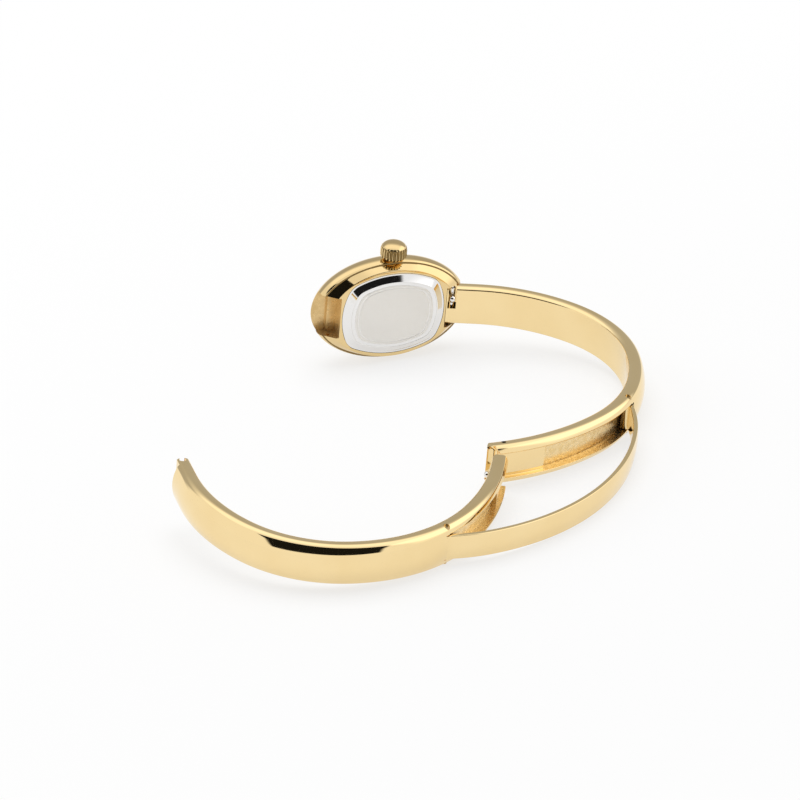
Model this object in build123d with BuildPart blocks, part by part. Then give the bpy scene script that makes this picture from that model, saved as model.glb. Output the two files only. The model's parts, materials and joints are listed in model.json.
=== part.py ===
from build123d import *
from math import cos, radians, sin
import os

os.makedirs("parts", exist_ok=True)

# Bangle watch, unlatched and opened out, lying on the case's nine o'clock side.
# Sizes in millimetres, angles in degrees.

# Closed ring: the inner line from six o'clock up to a lug, as four tangent bends
ring_drop = 49.4
bend_radii = (40.0, 25.3, 19.6, 27.5)
bend_turns = (29.0, 52.5, 48.0, 34.0)
least_turn = 0.001
quarter_turn, half_turn, full_turn = 90, 180, 360

# Fits shared by every piece
running_gap = 0.05
snug_gap = 0.02
free_gap = 0.15
cut_over = 1.0

# Arm section
arm_width = 7.2
arm_thick = 3.0
arm_side = 2.0
arm_inner_round = 0.45
arm_outer_round = 1.1

# Folding link and its hinges
link_width = 4.3
link_seat = 1.95
link_edge = 0.7
link_crown = 0.2
channel_floor = 1.0
end_floor = 1.75
end_floor_turn = 13.0
right_pin_turn = 48.0
left_pin_turn = 45.0
pin_out = 1.8
pin_radius = 0.5
pin_recess = 0.35
knuckle_radius = 0.95
fold_angle = 36.0
fold_relief_turn = 1.1
left_end_turn = 5.2
right_nose_round = 1.15
left_nose_round = 0.75
nose_over_share, nose_bulge_share = 0.08, 0.31
catch_hole_radius = 0.4
catch_hole_turn = 2.9
catch_hole_out = 0.8

# Arm tips and the quick-release bar
lug_reach = 18.5
bar_end = 0.9
left_tip_short = 0.5
bar_out = 1.15
tip_step = 1.6
tip_thick = 2.0
bar_radius = 0.55
bar_tube_length = 6.2
bar_pin_radius = 0.3
bar_pin_reach = 0.55
bar_pin_inner = 1.6
bar_spring_length = 1.3
bar_spring_turns = 5
spring_wire = 0.06
knob_radius = 0.6
knob_stem_radius = 0.2
knob_height = 1.5
knob_travel = 0.9
knob_out = 0.05
bar_slider_low = 0.9
window_width = 1.4
window_floor = 0.45

# Latch bolt in the left arm's end
latch_turn = 6.9
latch_out = 1.0
latch_radius = 0.45
latch_top = 3.0
latch_length = 4.0
latch_plug_length = 0.6
plug_recess = 0.1
latch_spring_length, latch_spring_turns = 0.8, 5
latch_knob_height, latch_knob_out, latch_knob_radius = 0.45, 0.6, 0.5
latch_window = 3.4

# Case, measured from its back plane towards the dial
case_length = 27.0
case_width = 18.6
back_inset_x, back_inset_y = 4.6, 2.0
rim_inset_x, rim_inset_y = 0.8, 0.4
rim_step = 0.3
shoulder_inset_x, shoulder_inset_y = 1.8, 1.4
bezel_inset_x, bezel_inset_y = 5.6, 3.9
rim_height = 1.3
belt_height = 3.4
shoulder_height = 4.8
bezel_height = 5.7
case_back_drop = 1.0
lug_side_gap = 0.2
recess_before_bar = 1.524
ledge_reach = 1.5
ledge_over_bar = 1.340
lip_over_ledge = 0.6
lug_hole_radius = 0.33
lug_hole_depth = 0.42

# Caseback and cavity
back_plate_length = 18.0
back_plate_width = 15.2
flange_thick = 0.5
skirt_thick = 0.3
skirt_clear = 0.3
skirt_wall = 0.6
back_face_length = 15.4
back_face_width = 12.6
back_rise = 0.6
back_shoulder = 0.3
cavity_length = 17.2
cavity_width = 13.4
cavity_top = 3.65
seal_slack = 0.01
corner_x_share = 0.84
corner_y_share = 0.74
corner_round_share = 0.2

# Crystal, dial and hands
opening_length = 16.4
opening_width = 11.6
crystal_length = 18.2
crystal_width = 12.4
crystal_seat = 4.55
crystal_edge = 1.25
crystal_dome = 0.65
crystal_seal = 0.22
dome_outer_share, dome_mid_share, dome_top_share = 0.86, 0.5, 0.15
dial_low = 3.2
dial_thick = 0.4
dial_hole_radius = 0.65
hour_hand_length, minute_hand_length = 3.1, 4.6
hand_root, hand_tip, hand_tail, hand_tail_width = 0.7, 0.2, 1.1, 0.34
hour_hub_radius, minute_hub_radius = 0.8, 0.55
hand_thick = 0.12
hour_hand_height, minute_hand_height = 3.78, 4.02
hour_hand_turn, minute_hand_turn = 305.0, 60.0
marker_length, marker_width, marker_thick = 1.3, 0.32, 0.1
marker_ring_x, marker_ring_y = 7.0, 4.6
marker_count = 12

# Crown and stem
stem_height = 2.25
stem_radius = 0.35
stem_in = 4.3
tube_radius = 0.85
tube_bore = 0.6
tube_inset = 0.05
tube_stand = 0.6
crown_radius = 2.25
crown_foot = 1.9
crown_stand = 0.35
crown_skirt = 1.6
crown_dome = 1.3
crown_flare = 0.45
crown_mid, crown_mid_rise = 1.45, 0.9
crown_hollow = 0.95
crown_hollow_depth = 0.6
crown_bore_depth = 1.6
crown_flutes = 24
flute_radius = 0.19
o_ring_radius, o_ring_wire = 0.475, 0.115
o_ring_depth, o_ring_pitch = 1.1, 0.4

# Movement, between the caseback and the dial
holder_wall_x, holder_wall_y = 0.6, 0.4
plate_low = 1.9
plate_thick = 0.7
holder_low = 0.95
arbor_radius = 0.15
arbor_low = 1.02
tooth_depth = 0.1
pivot_depth = 0.4
wheel_teeth, pinion_teeth, minute_wheel_teeth = 40, 10, 30
mesh_gap = 0.03
wheel_thick = 0.13
centre_radius = 1.5
third_radius = 1.5
relay_radius = 1.3
pinion_radius = 0.45
level_low, level_mid, level_high = 1.08, 1.38, 1.68
third_bearing, relay_bearing, rotor_bearing = 140.0, 200.0, 270.0
rotor_radius = 0.5
rotor_pinion_radius = 0.3
rotor_low, rotor_thick = 1.28, 0.34
battery_radius = 2.9
battery_thick = 1.25
battery_x, battery_y, battery_low = 4.1, -2.0, 0.98
battery_pocket = 0.36
battery_round = 0.12
clamp_width, clamp_length, clamp_thick, clamp_leg = 1.4, 6.6, 0.08, 0.3
coil_radius, coil_length = 0.42, 2.8
coil_core_width, coil_core_side = 0.4, 0.13
coil_drop = 3.0
stator_length, stator_width = 4.6, 1.5
stator_shift = -0.5
stator_thick, stator_low = 0.13, 1.53
stator_leg = 0.8
board_length, board_thick = 4.2, 0.2
board_x = 3.8
board_gap, board_inset = 0.8, 1.8
can_radius, can_length, can_shift = 0.3, 2.4, 0.9
chip_side, chip_thick, chip_shift = 1.2, 0.35, 0.5
cannon_radius = 0.3
cannon_teeth_radius, cannon_teeth_thick = 0.45, 0.2
cannon_low, cannon_grip = 2.66, 0.5
cannon_bore = 0.17
hand_arbor_top = 4.28
hour_pipe_radius = 0.52
hour_pipe_top = 3.98
minute_wheel_radius = 1.35
minute_pinion_radius = 0.4
minute_pinion_thick = 0.24
hour_wheel_radius = 1.4
hour_wheel_low = 2.9
minute_bearing = 60.0
screw_head_radius, screw_head_thick = 0.45, 0.2
screw_radius, screw_length, screw_slot = 0.22, 0.5, 0.14
screw_inset_x, screw_inset_y = 1.7, 3.1
screw_mid_x, screw_inset_y_low = 0.3, 1.2
screw_right_x, screw_right_y = 1.0, 1.4

# How the opened watch lies: the ring plane leans back and to one side
lean_angle = 3.512
roll_angle = 5.685
ring_x, ring_y, ring_height = -5.37, 37.484, 9.247
case_turn = 21.2


def ring_centre(bend):
    """Centre of one bend of the right half, in ring coordinates."""
    x, y, turn = 0.0, bend_radii[0] - ring_drop, 0.0
    for i in range(bend):
        turn += bend_turns[i]
        change = bend_radii[i] - bend_radii[i + 1]
        x += change * sin(radians(turn))
        y -= change * cos(radians(turn))
    return x, y


def ring_point(turn, out, side=1, run=0.0):
    """Point where the ring has turned so far from six o'clock, out from its inner line."""
    bend, left = 0, turn
    while bend < len(bend_turns) - 1 and left > bend_turns[bend]:
        left -= bend_turns[bend]
        bend += 1
    x, y = ring_centre(bend)
    reach = bend_radii[bend] + out
    heading = radians(turn)
    x += reach * sin(heading) + run * cos(heading)
    y += run * sin(heading) - reach * cos(heading)
    return side * x, y


def ring_arcs(out, start, stop, side=1):
    """Arcs of the ring between two turns, added to the line being drawn."""
    turn = 0.0
    for bend, size in enumerate(bend_turns):
        low, high = max(start, turn), min(stop, turn + size)
        turn += size
        if high - low < least_turn:
            continue
        x, y = ring_centre(bend)
        first = low - quarter_turn if side > 0 else half_turn + quarter_turn - low
        CenterArc((side * x, y), bend_radii[bend] + out, first, side * (high - low))


def band(low, high, start, stop, side=1):
    """Face between two lines that run parallel to the ring's inner line."""
    with BuildLine() as outline:
        ring_arcs(low, start, stop, side)
        ring_arcs(high, start, stop, side)
        Line(ring_point(start, low, side), ring_point(start, high, side))
        Line(ring_point(stop, low, side), ring_point(stop, high, side))
    make_face(outline.edges())


def turned(frame, point, angle):
    """Frame of a body after it has turned about a point of its own frame."""
    pivot = frame.from_local_coords(Vector(point[0], point[1], 0))
    x_dir = frame.x_dir.rotate(Axis((0, 0, 0), frame.z_dir), angle)
    at_pivot = Plane(origin=pivot, x_dir=x_dir, z_dir=frame.z_dir)
    origin = at_pivot.from_local_coords(Vector(-point[0], -point[1], 0))
    return Plane(origin=origin, x_dir=x_dir, z_dir=frame.z_dir)


def local_plane(frame, point, x_local, z_local):
    """Plane at a point of a frame, with directions given in that frame."""
    def aim(v):
        return frame.x_dir * v[0] + frame.y_dir * v[1] + frame.z_dir * v[2]
    origin = frame.from_local_coords(Vector(*point))
    return Plane(origin=origin, x_dir=aim(x_local), z_dir=aim(z_local))


def cushion(length, width, mode=Mode.ADD):
    """Oval with four swept corners, the outline of the caseback and the cavity."""
    a, b = length / 2, width / 2
    ca, cb = a * corner_x_share, b * corner_y_share
    with BuildSketch() as shape:
        with BuildLine() as outline:
            ThreePointArc((-ca, cb), (0, b), (ca, cb))
            ThreePointArc((ca, cb), (a, 0), (ca, -cb))
            ThreePointArc((ca, -cb), (0, -b), (-ca, -cb))
            ThreePointArc((-ca, -cb), (-a, 0), (-ca, cb))
        make_face(outline.edges())
        fillet(shape.vertices(), width * corner_round_share)
    add(shape.sketch_local, mode=mode)


def toothed(spot, radius, teeth, bore=0):
    """Wheel or pinion outline: a disc with straight teeth and a bore."""
    with Locations(spot):
        Circle(radius - tooth_depth)
        with PolarLocations(radius - tooth_depth, teeth):
            Rectangle(2 * tooth_depth, tooth_depth)
        if bore:
            Circle(bore, mode=Mode.SUBTRACT)


def polar(start, distance, angle):
    """Point at a distance and bearing from another."""
    return start[0] + distance * cos(radians(angle)), start[1] + distance * sin(radians(angle))


# Frames: the case and right arm share the closed ring's frame; the fold turns the others
leaning = Plane(Location((ring_x, ring_y, ring_height), (lean_angle, roll_angle, 0)))
ring = turned(leaning, (0, 0), case_turn)
right_pin = ring_point(right_pin_turn, pin_out)
left_pin = ring_point(left_pin_turn, pin_out, -1)
link_frame = turned(ring, right_pin, fold_angle)
left_frame = turned(link_frame, left_pin, fold_angle)
ring_turn = sum(bend_turns)
lug_run = lug_reach - case_length / 2
bar_run = lug_run - bar_end
left_tip_run = lug_run - left_tip_short
bar_point = ring_point(ring_turn, bar_out, 1, bar_run)
left_bar_point = ring_point(ring_turn, bar_out, -1, bar_run)
dial_frame = local_plane(ring, (0, -case_back_drop, 0), (-1, 0, 0), (0, 1, 0))
bar_level = bar_point[1] + case_back_drop
lug_gap = arm_width + 2 * lug_side_gap
ledge_height = bar_level + ledge_over_bar
lip_height = ledge_height + lip_over_ledge
half_width = arm_width / 2
channel_width = link_width + 2 * free_gap
pocket_radius = knuckle_radius + free_gap
arm_top = arm_thick + cut_over


def arm_section():
    """Flat inside, straight sides and a low dome outside; x runs outwards."""
    with BuildSketch() as section:
        with BuildLine() as outline:
            Line((0, -half_width), (0, half_width))
            Line((0, half_width), (arm_side, half_width))
            ThreePointArc((arm_side, half_width), (arm_thick, 0), (arm_side, -half_width))
            Line((arm_side, -half_width), (0, -half_width))
        make_face(outline.edges())
        fillet(section.vertices().sort_by(Axis.X)[:2], arm_inner_round)
        fillet(section.vertices().sort_by(Axis.X)[-2:], arm_outer_round)
    add(section.sketch_local)


def through(frame, width):
    """Plane half a width below a frame, from which a cut goes that width up."""
    return frame.offset(-width / 2)


def end_plane(frame, turn, side):
    """Plane across the width at an arm's end, with x into the arm and y outwards."""
    heading = radians(turn)
    along = (side * cos(heading), sin(heading), 0)
    return local_plane(frame, (*ring_point(turn, 0, side), 0), along, (0, 0, -side))


def end_waste(radius, out, inward):
    """Corner waste of an arm's end, bounded by an arc that crosses both faces."""
    side = 1 if inward else -1
    over, bulge = radius * nose_over_share, radius * nose_bulge_share
    with BuildLine() as outline:
        low, high = (-over, out + side * radius), (radius, out - side * over)
        ThreePointArc(low, (bulge, out + side * bulge), high)
        Line(high, (radius, out - side * cut_over))
        Line((radius, out - side * cut_over), (-cut_over, out - side * cut_over))
        Line((-cut_over, out - side * cut_over), (-cut_over, out + side * radius))
        Line((-cut_over, out + side * radius), low)
    make_face(outline.edges())


def tip_waste(side, run):
    """Outer skin of an arm's tip, cut back so that it passes under the case's visor."""
    with BuildLine() as outline:
        Polyline(
            ring_point(ring_turn, tip_thick, side, run - tip_step),
            ring_point(ring_turn, tip_thick, side, run + cut_over),
            ring_point(ring_turn, arm_top, side, run + cut_over),
            ring_point(ring_turn, arm_top, side, run - tip_step),
            close=True,
        )
    make_face(outline.edges())


# Right arm, from its nose at six o'clock to its end in the case
with BuildPart() as right_arm:
    with BuildLine(ring):
        ring_arcs(0, 0, ring_turn)
        Line(ring_point(ring_turn, 0), ring_point(ring_turn, 0, 1, lug_run))
    with BuildSketch(local_plane(ring, (0, -ring_drop, 0), (0, -1, 0), (1, 0, 0))):
        arm_section()
    sweep()
    with BuildSketch(through(ring, channel_width)):
        band(end_floor, arm_top, 0, end_floor_turn)
        band(channel_floor, arm_top, end_floor_turn, right_pin_turn)
        band(pin_out, arm_top, right_pin_turn, right_pin_turn + fold_relief_turn)
        with Locations(right_pin):
            Circle(pocket_radius)
    extrude(amount=channel_width, mode=Mode.SUBTRACT)
    with BuildSketch(through(ring, arm_width + cut_over)):
        with Locations(right_pin):
            Circle(pin_radius + snug_gap)
        with Locations(ring_point(catch_hole_turn, catch_hole_out)):
            Circle(catch_hole_radius)
        with Locations(bar_point):
            Circle(bar_radius + snug_gap)
    extrude(amount=arm_width + cut_over, mode=Mode.SUBTRACT)
    lug_foot = ring_point(ring_turn, 0, 1, bar_run)
    lug_along = (cos(radians(ring_turn)), sin(radians(ring_turn)), 0)
    lug_out = (sin(radians(ring_turn)), -cos(radians(ring_turn)), 0)
    lug_face = local_plane(ring, (lug_foot[0], lug_foot[1], 0), lug_along, lug_out)
    with BuildSketch(lug_face.offset(-cut_over)):
        window_height = half_width + window_floor + cut_over
        with Locations((0, window_height / 2 - window_floor)):
            Rectangle(window_width, window_height)
    extrude(amount=cut_over + bar_out, mode=Mode.SUBTRACT)
    with BuildSketch(through(ring, arm_width + cut_over)):
        tip_waste(1, lug_run)
    extrude(amount=arm_width + cut_over, mode=Mode.SUBTRACT)
    with BuildSketch(end_plane(ring, 0, 1).offset(-half_width)):
        end_waste(right_nose_round, 0, True)
        end_waste(right_nose_round, end_floor, False)
    extrude(amount=arm_width, mode=Mode.SUBTRACT)
right_arm.part.label = "right_arm"
export_step(right_arm.part, "parts/right_arm.step")

# Left arm, from its end at six o'clock to the free tip
with BuildPart() as left_arm:
    with BuildLine(left_frame):
        ring_arcs(0, left_end_turn, ring_turn, -1)
        Line(ring_point(ring_turn, 0, -1), ring_point(ring_turn, 0, -1, left_tip_run))
    left_heading = radians(left_end_turn)
    with BuildSketch(local_plane(left_frame, (*ring_point(left_end_turn, 0, -1), 0),
                                 (-sin(left_heading), -cos(left_heading), 0),
                                 (-cos(left_heading), sin(left_heading), 0))):
        arm_section()
    sweep()
    with BuildSketch(through(left_frame, channel_width)):
        band(end_floor, arm_top, left_end_turn, end_floor_turn, -1)
        band(channel_floor, arm_top, end_floor_turn, left_pin_turn, -1)
        band(pin_out, arm_top, left_pin_turn, left_pin_turn + fold_relief_turn, -1)
        with Locations(left_pin):
            Circle(pocket_radius)
    extrude(amount=channel_width, mode=Mode.SUBTRACT)
    with BuildSketch(through(left_frame, arm_width + cut_over)):
        with Locations(left_pin):
            Circle(pin_radius + snug_gap)
        with Locations(left_bar_point):
            Circle(bar_radius + snug_gap)
        tip_waste(-1, left_tip_run)
    extrude(amount=arm_width + cut_over, mode=Mode.SUBTRACT)
    latch_point = ring_point(latch_turn, latch_out, -1)
    with BuildSketch(left_frame.offset(-half_width - cut_over)):
        with Locations(latch_point):
            Circle(latch_radius + running_gap)
    extrude(amount=cut_over + half_width + latch_top + free_gap, mode=Mode.SUBTRACT)
    latch_heading = radians(latch_turn)
    latch_along = (-cos(latch_heading), sin(latch_heading), 0)
    latch_outwards = (-sin(latch_heading), -cos(latch_heading), 0)
    latch_foot = ring_point(latch_turn, 0, -1)
    latch_face = local_plane(left_frame, (*latch_foot, 0), latch_along, latch_outwards)
    with BuildSketch(latch_face.offset(-cut_over)):
        SlotOverall(latch_window, 2 * (knob_stem_radius + free_gap), rotation=quarter_turn)
    extrude(amount=cut_over + latch_out, mode=Mode.SUBTRACT)
    with BuildSketch(end_plane(left_frame, left_end_turn, -1).offset(-half_width)):
        end_waste(left_nose_round, 0, True)
        end_waste(left_nose_round, arm_thick, False)
    extrude(amount=arm_width, mode=Mode.SUBTRACT)
left_arm.part.label = "left_arm"
export_step(left_arm.part, "parts/left_arm.step")

# Folding link, from the right pin round six o'clock to the left pin
link_top = link_seat + link_edge
link_half = link_width / 2


def link_section():
    """Thin strip with a slight crown outside; x runs outwards."""
    with BuildLine() as outline:
        Line((link_seat, -link_half), (link_seat, link_half))
        Line((link_seat, link_half), (link_top, link_half))
        ThreePointArc((link_top, link_half), (link_top + link_crown, 0), (link_top, -link_half))
        Line((link_top, -link_half), (link_seat, -link_half))
    make_face(outline.edges())


with BuildPart() as folding_link:
    with BuildLine(link_frame):
        ring_arcs(0, 0, right_pin_turn)
    with BuildSketch(local_plane(link_frame, (0, -ring_drop, 0), (0, -1, 0), (1, 0, 0))):
        link_section()
    sweep()
    with BuildLine(link_frame):
        ring_arcs(0, 0, left_pin_turn, -1)
    with BuildSketch(local_plane(link_frame, (0, -ring_drop, 0), (0, -1, 0), (-1, 0, 0))):
        link_section()
    sweep()
    with BuildSketch(through(link_frame, link_width)):
        with Locations(right_pin, left_pin):
            Circle(knuckle_radius)
    extrude(amount=link_width)
    with BuildSketch(through(link_frame, link_width + cut_over)):
        with Locations(right_pin, left_pin):
            Circle(pin_radius + running_gap)
    extrude(amount=link_width + cut_over, mode=Mode.SUBTRACT)
folding_link.part.label = "folding_link"
export_step(folding_link.part, "parts/folding_link.step")

# Hinge pins, held in the arms and running in the link's knuckles
pin_length = arm_width - 2 * pin_recess
with BuildPart() as right_hinge_pin:
    with BuildSketch(through(ring, pin_length)):
        with Locations(right_pin):
            Circle(pin_radius)
    extrude(amount=pin_length)
right_hinge_pin.part.label = "right_hinge_pin"
export_step(right_hinge_pin.part, "parts/right_hinge_pin.step")

with BuildPart() as left_hinge_pin:
    with BuildSketch(through(left_frame, pin_length)):
        with Locations(left_pin):
            Circle(pin_radius)
    extrude(amount=pin_length)
left_hinge_pin.part.label = "left_hinge_pin"
export_step(left_hinge_pin.part, "parts/left_hinge_pin.step")


def level(height):
    """Plane across the case at a height over its back plane."""
    return dial_frame.offset(height)


# Case middle: back ring, domed belt, seats for the caseback and crystal, and two end recesses
crown_plane = local_plane(dial_frame, (0, 0, stem_height), (1, 0, 0), (0, 1, 0))
tube_in, tube_out = cavity_width / 2 + tube_inset, case_width / 2 + tube_stand
rim_a, rim_b = (case_length - rim_inset_x) / 2, (case_width - rim_inset_y) / 2
recess_start = bar_point[0] - recess_before_bar
with BuildPart() as mid_case:
    with BuildSketch(dial_frame):
        Ellipse((case_length - back_inset_x) / 2, (case_width - back_inset_y) / 2)
    with BuildSketch(level(rim_height)):
        Ellipse(rim_a - rim_step, rim_b - rim_step)
    loft()
    with BuildSketch(level(rim_height)):
        Ellipse(rim_a, rim_b)
    with BuildSketch(level(belt_height)):
        Ellipse(case_length / 2, case_width / 2)
    with BuildSketch(level(shoulder_height)):
        Ellipse((case_length - shoulder_inset_x) / 2, (case_width - shoulder_inset_y) / 2)
    with BuildSketch(level(bezel_height)):
        Ellipse((case_length - bezel_inset_x) / 2, (case_width - bezel_inset_y) / 2)
    loft()
    with BuildSketch(dial_frame):
        cushion(back_plate_length + 2 * running_gap, back_plate_width + 2 * running_gap)
    extrude(amount=flange_thick, mode=Mode.SUBTRACT)
    with BuildSketch(dial_frame):
        cushion(cavity_length, cavity_width)
    extrude(amount=cavity_top, mode=Mode.SUBTRACT)
    with BuildSketch(dial_frame):
        Ellipse(opening_length / 2, opening_width / 2)
    extrude(amount=bezel_height + cut_over, mode=Mode.SUBTRACT)
    with BuildSketch(level(crystal_seat)):
        Ellipse(crystal_length / 2, crystal_width / 2)
    extrude(amount=bezel_height, mode=Mode.SUBTRACT)
    recess_end = case_length / 2 + cut_over
    recess_mid = (recess_start + recess_end) / 2
    visor_mid = (recess_start + ledge_reach + recess_end) / 2
    with BuildSketch(level(-cut_over)):
        with Locations((recess_mid, 0), (-recess_mid, 0)):
            Rectangle(recess_end - recess_start, lug_gap)
    extrude(amount=cut_over + ledge_height, mode=Mode.SUBTRACT)
    with BuildSketch(level(-cut_over)):
        with Locations((visor_mid, 0), (-visor_mid, 0)):
            Rectangle(recess_end - recess_start - ledge_reach, lug_gap)
    extrude(amount=cut_over + lip_height, mode=Mode.SUBTRACT)
    lug_holes_width = lug_gap + 2 * lug_hole_depth
    with BuildSketch(through(ring, lug_holes_width)):
        with Locations(bar_point, (-bar_point[0], bar_point[1])):
            Circle(lug_hole_radius)
    extrude(amount=lug_holes_width, mode=Mode.SUBTRACT)
    with BuildSketch(crown_plane.offset(tube_in - cut_over)):
        Circle(tube_radius + snug_gap)
    extrude(amount=case_width / 2, mode=Mode.SUBTRACT)
mid_case.part.label = "mid_case"
export_step(mid_case.part, "parts/mid_case.step")

# Caseback: flange, raised face and the skirt that carries its gasket
skirt_length, skirt_width = cavity_length - 2 * skirt_clear, cavity_width - 2 * skirt_clear
with BuildPart() as caseback:
    with BuildSketch(dial_frame):
        cushion(back_plate_length, back_plate_width)
    extrude(amount=flange_thick)
    with BuildSketch(level(flange_thick)):
        cushion(skirt_length, skirt_width)
        cushion(skirt_length - 2 * skirt_wall, skirt_width - 2 * skirt_wall, Mode.SUBTRACT)
    extrude(amount=skirt_thick)
    with BuildSketch(dial_frame):
        cushion(back_plate_length - 2 * back_shoulder, back_plate_width - 2 * back_shoulder)
    with BuildSketch(level(-back_rise)):
        cushion(back_face_length, back_face_width)
    loft()
caseback.part.label = "caseback"
export_step(caseback.part, "parts/caseback.step")

with BuildPart() as caseback_gasket:
    with BuildSketch(level(flange_thick + snug_gap)):
        cushion(cavity_length - 2 * seal_slack, cavity_width - 2 * seal_slack)
        cushion(skirt_length + 2 * seal_slack, skirt_width + 2 * seal_slack, Mode.SUBTRACT)
    extrude(amount=skirt_thick - 2 * snug_gap)
caseback_gasket.part.label = "caseback_gasket"
export_step(caseback_gasket.part, "parts/caseback_gasket.step")

# Crystal with a low dome, in its ring gasket
crystal_a, crystal_b = crystal_length / 2 - crystal_seal, crystal_width / 2 - crystal_seal
crystal_low = crystal_seat + snug_gap
with BuildPart() as crystal:
    with BuildSketch(level(crystal_low)):
        Ellipse(crystal_a, crystal_b)
    extrude(amount=crystal_edge)
    for share in (1, dome_outer_share, dome_mid_share, dome_top_share):
        with BuildSketch(level(crystal_low + crystal_edge + crystal_dome * (1 - share * share))):
            Ellipse(crystal_a * share, crystal_b * share)
    loft()
crystal.part.label = "crystal"
export_step(crystal.part, "parts/crystal.step")

with BuildPart() as crystal_gasket:
    with BuildSketch(level(crystal_low)):
        Ellipse(crystal_length / 2 - seal_slack, crystal_width / 2 - seal_slack)
        Ellipse(crystal_a + seal_slack, crystal_b + seal_slack, mode=Mode.SUBTRACT)
    extrude(amount=crystal_edge - free_gap)
crystal_gasket.part.label = "crystal_gasket"
export_step(crystal_gasket.part, "parts/crystal_gasket.step")

# Dial, its applied markers and the hands; twelve o'clock lies towards the right arm
with BuildPart() as dial:
    with BuildSketch(level(dial_low)):
        cushion(cavity_length - 2 * running_gap, cavity_width - 2 * running_gap)
        Circle(dial_hole_radius, mode=Mode.SUBTRACT)
    extrude(amount=dial_thick)
dial.part.label = "dial"
export_step(dial.part, "parts/dial.step")

with BuildPart() as hour_markers:
    with BuildSketch(level(dial_low + dial_thick)):
        for hour in range(marker_count):
            bearing = hour * full_turn / marker_count
            way = radians(bearing)
            with Locations((marker_ring_x * cos(way), marker_ring_y * sin(way))):
                Rectangle(marker_length, marker_width, rotation=bearing)
    extrude(amount=marker_thick)
hour_markers.part.label = "hour_markers"
export_step(hour_markers.part, "parts/hour_markers.step")


def hand(length, hub, bore, clock_turn):
    """Tapered hand with a short tail, pointing at a clock angle."""
    root = (-hand_tail, hand_tail_width / 2)
    tip = (length, hand_tip / 2)
    low = ((length, -hand_tip / 2), (-hand_tail, -hand_tail_width / 2))
    Polygon(root, (0, hand_root / 2), tip, *low, align=None, rotation=half_turn - clock_turn)
    Circle(hub)
    Circle(bore, mode=Mode.SUBTRACT)


with BuildPart() as hour_hand:
    with BuildSketch(level(hour_hand_height)):
        hand(hour_hand_length, hour_hub_radius, hour_pipe_radius + snug_gap, hour_hand_turn)
    extrude(amount=hand_thick)
hour_hand.part.label = "hour_hand"
export_step(hour_hand.part, "parts/hour_hand.step")

with BuildPart() as minute_hand:
    with BuildSketch(level(minute_hand_height)):
        hand(minute_hand_length, minute_hub_radius, cannon_radius + snug_gap, minute_hand_turn)
    extrude(amount=hand_thick)
minute_hand.part.label = "minute_hand"
export_step(minute_hand.part, "parts/minute_hand.step")

# Crown, stem, case tube and the tube's two ring seals
crown_side = local_plane(dial_frame, (0, 0, stem_height), (1, 0, 0), (0, 0, 1))
crown_axis = Axis(crown_side.origin, crown_side.y_dir)
crown_base = case_width / 2 + crown_stand
crown_edge = crown_base + crown_skirt
crown_top = crown_edge + crown_dome
with BuildPart() as crown:
    with BuildSketch(crown_side):
        with BuildLine():
            Polyline((0, crown_top), (0, crown_base), (crown_foot, crown_base))
            Line((crown_foot, crown_base), (crown_radius, crown_base + crown_flare))
            Line((crown_radius, crown_base + crown_flare), (crown_radius, crown_edge))
            crown_shoulder = (crown_mid, crown_edge + crown_mid_rise)
            ThreePointArc((crown_radius, crown_edge), crown_shoulder, (0, crown_top))
        make_face()
    revolve(axis=crown_axis)
    with BuildSketch(crown_plane.offset(crown_base - cut_over)):
        with PolarLocations(crown_radius, crown_flutes):
            Circle(flute_radius)
    extrude(amount=cut_over + crown_skirt, mode=Mode.SUBTRACT)
    with BuildSketch(crown_plane.offset(crown_base - cut_over)):
        Circle(crown_hollow)
    extrude(amount=cut_over + crown_hollow_depth, mode=Mode.SUBTRACT)
    with BuildSketch(crown_plane.offset(crown_base)):
        Circle(stem_radius + snug_gap)
    extrude(amount=crown_bore_depth, mode=Mode.SUBTRACT)
crown.part.label = "crown"
export_step(crown.part, "parts/crown.step")

with BuildPart() as stem:
    with BuildSketch(crown_plane.offset(stem_in)):
        Circle(stem_radius)
    extrude(amount=crown_base + crown_bore_depth - running_gap - stem_in)
stem.part.label = "stem"
export_step(stem.part, "parts/stem.step")

with BuildPart() as crown_tube:
    with BuildSketch(crown_plane.offset(tube_in)):
        Circle(tube_radius)
        Circle(tube_bore, mode=Mode.SUBTRACT)
    extrude(amount=tube_out - tube_in)
crown_tube.part.label = "crown_tube"
export_step(crown_tube.part, "parts/crown_tube.step")

with BuildPart() as crown_gasket:
    with BuildSketch(crown_side):
        o_ring_place = tube_out - o_ring_depth
        with Locations((o_ring_radius, o_ring_place), (o_ring_radius, o_ring_place - o_ring_pitch)):
            Circle(o_ring_wire)
    revolve(axis=crown_axis)
crown_gasket.part.label = "crown_gasket"
export_step(crown_gasket.part, "parts/crown_gasket.step")

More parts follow.
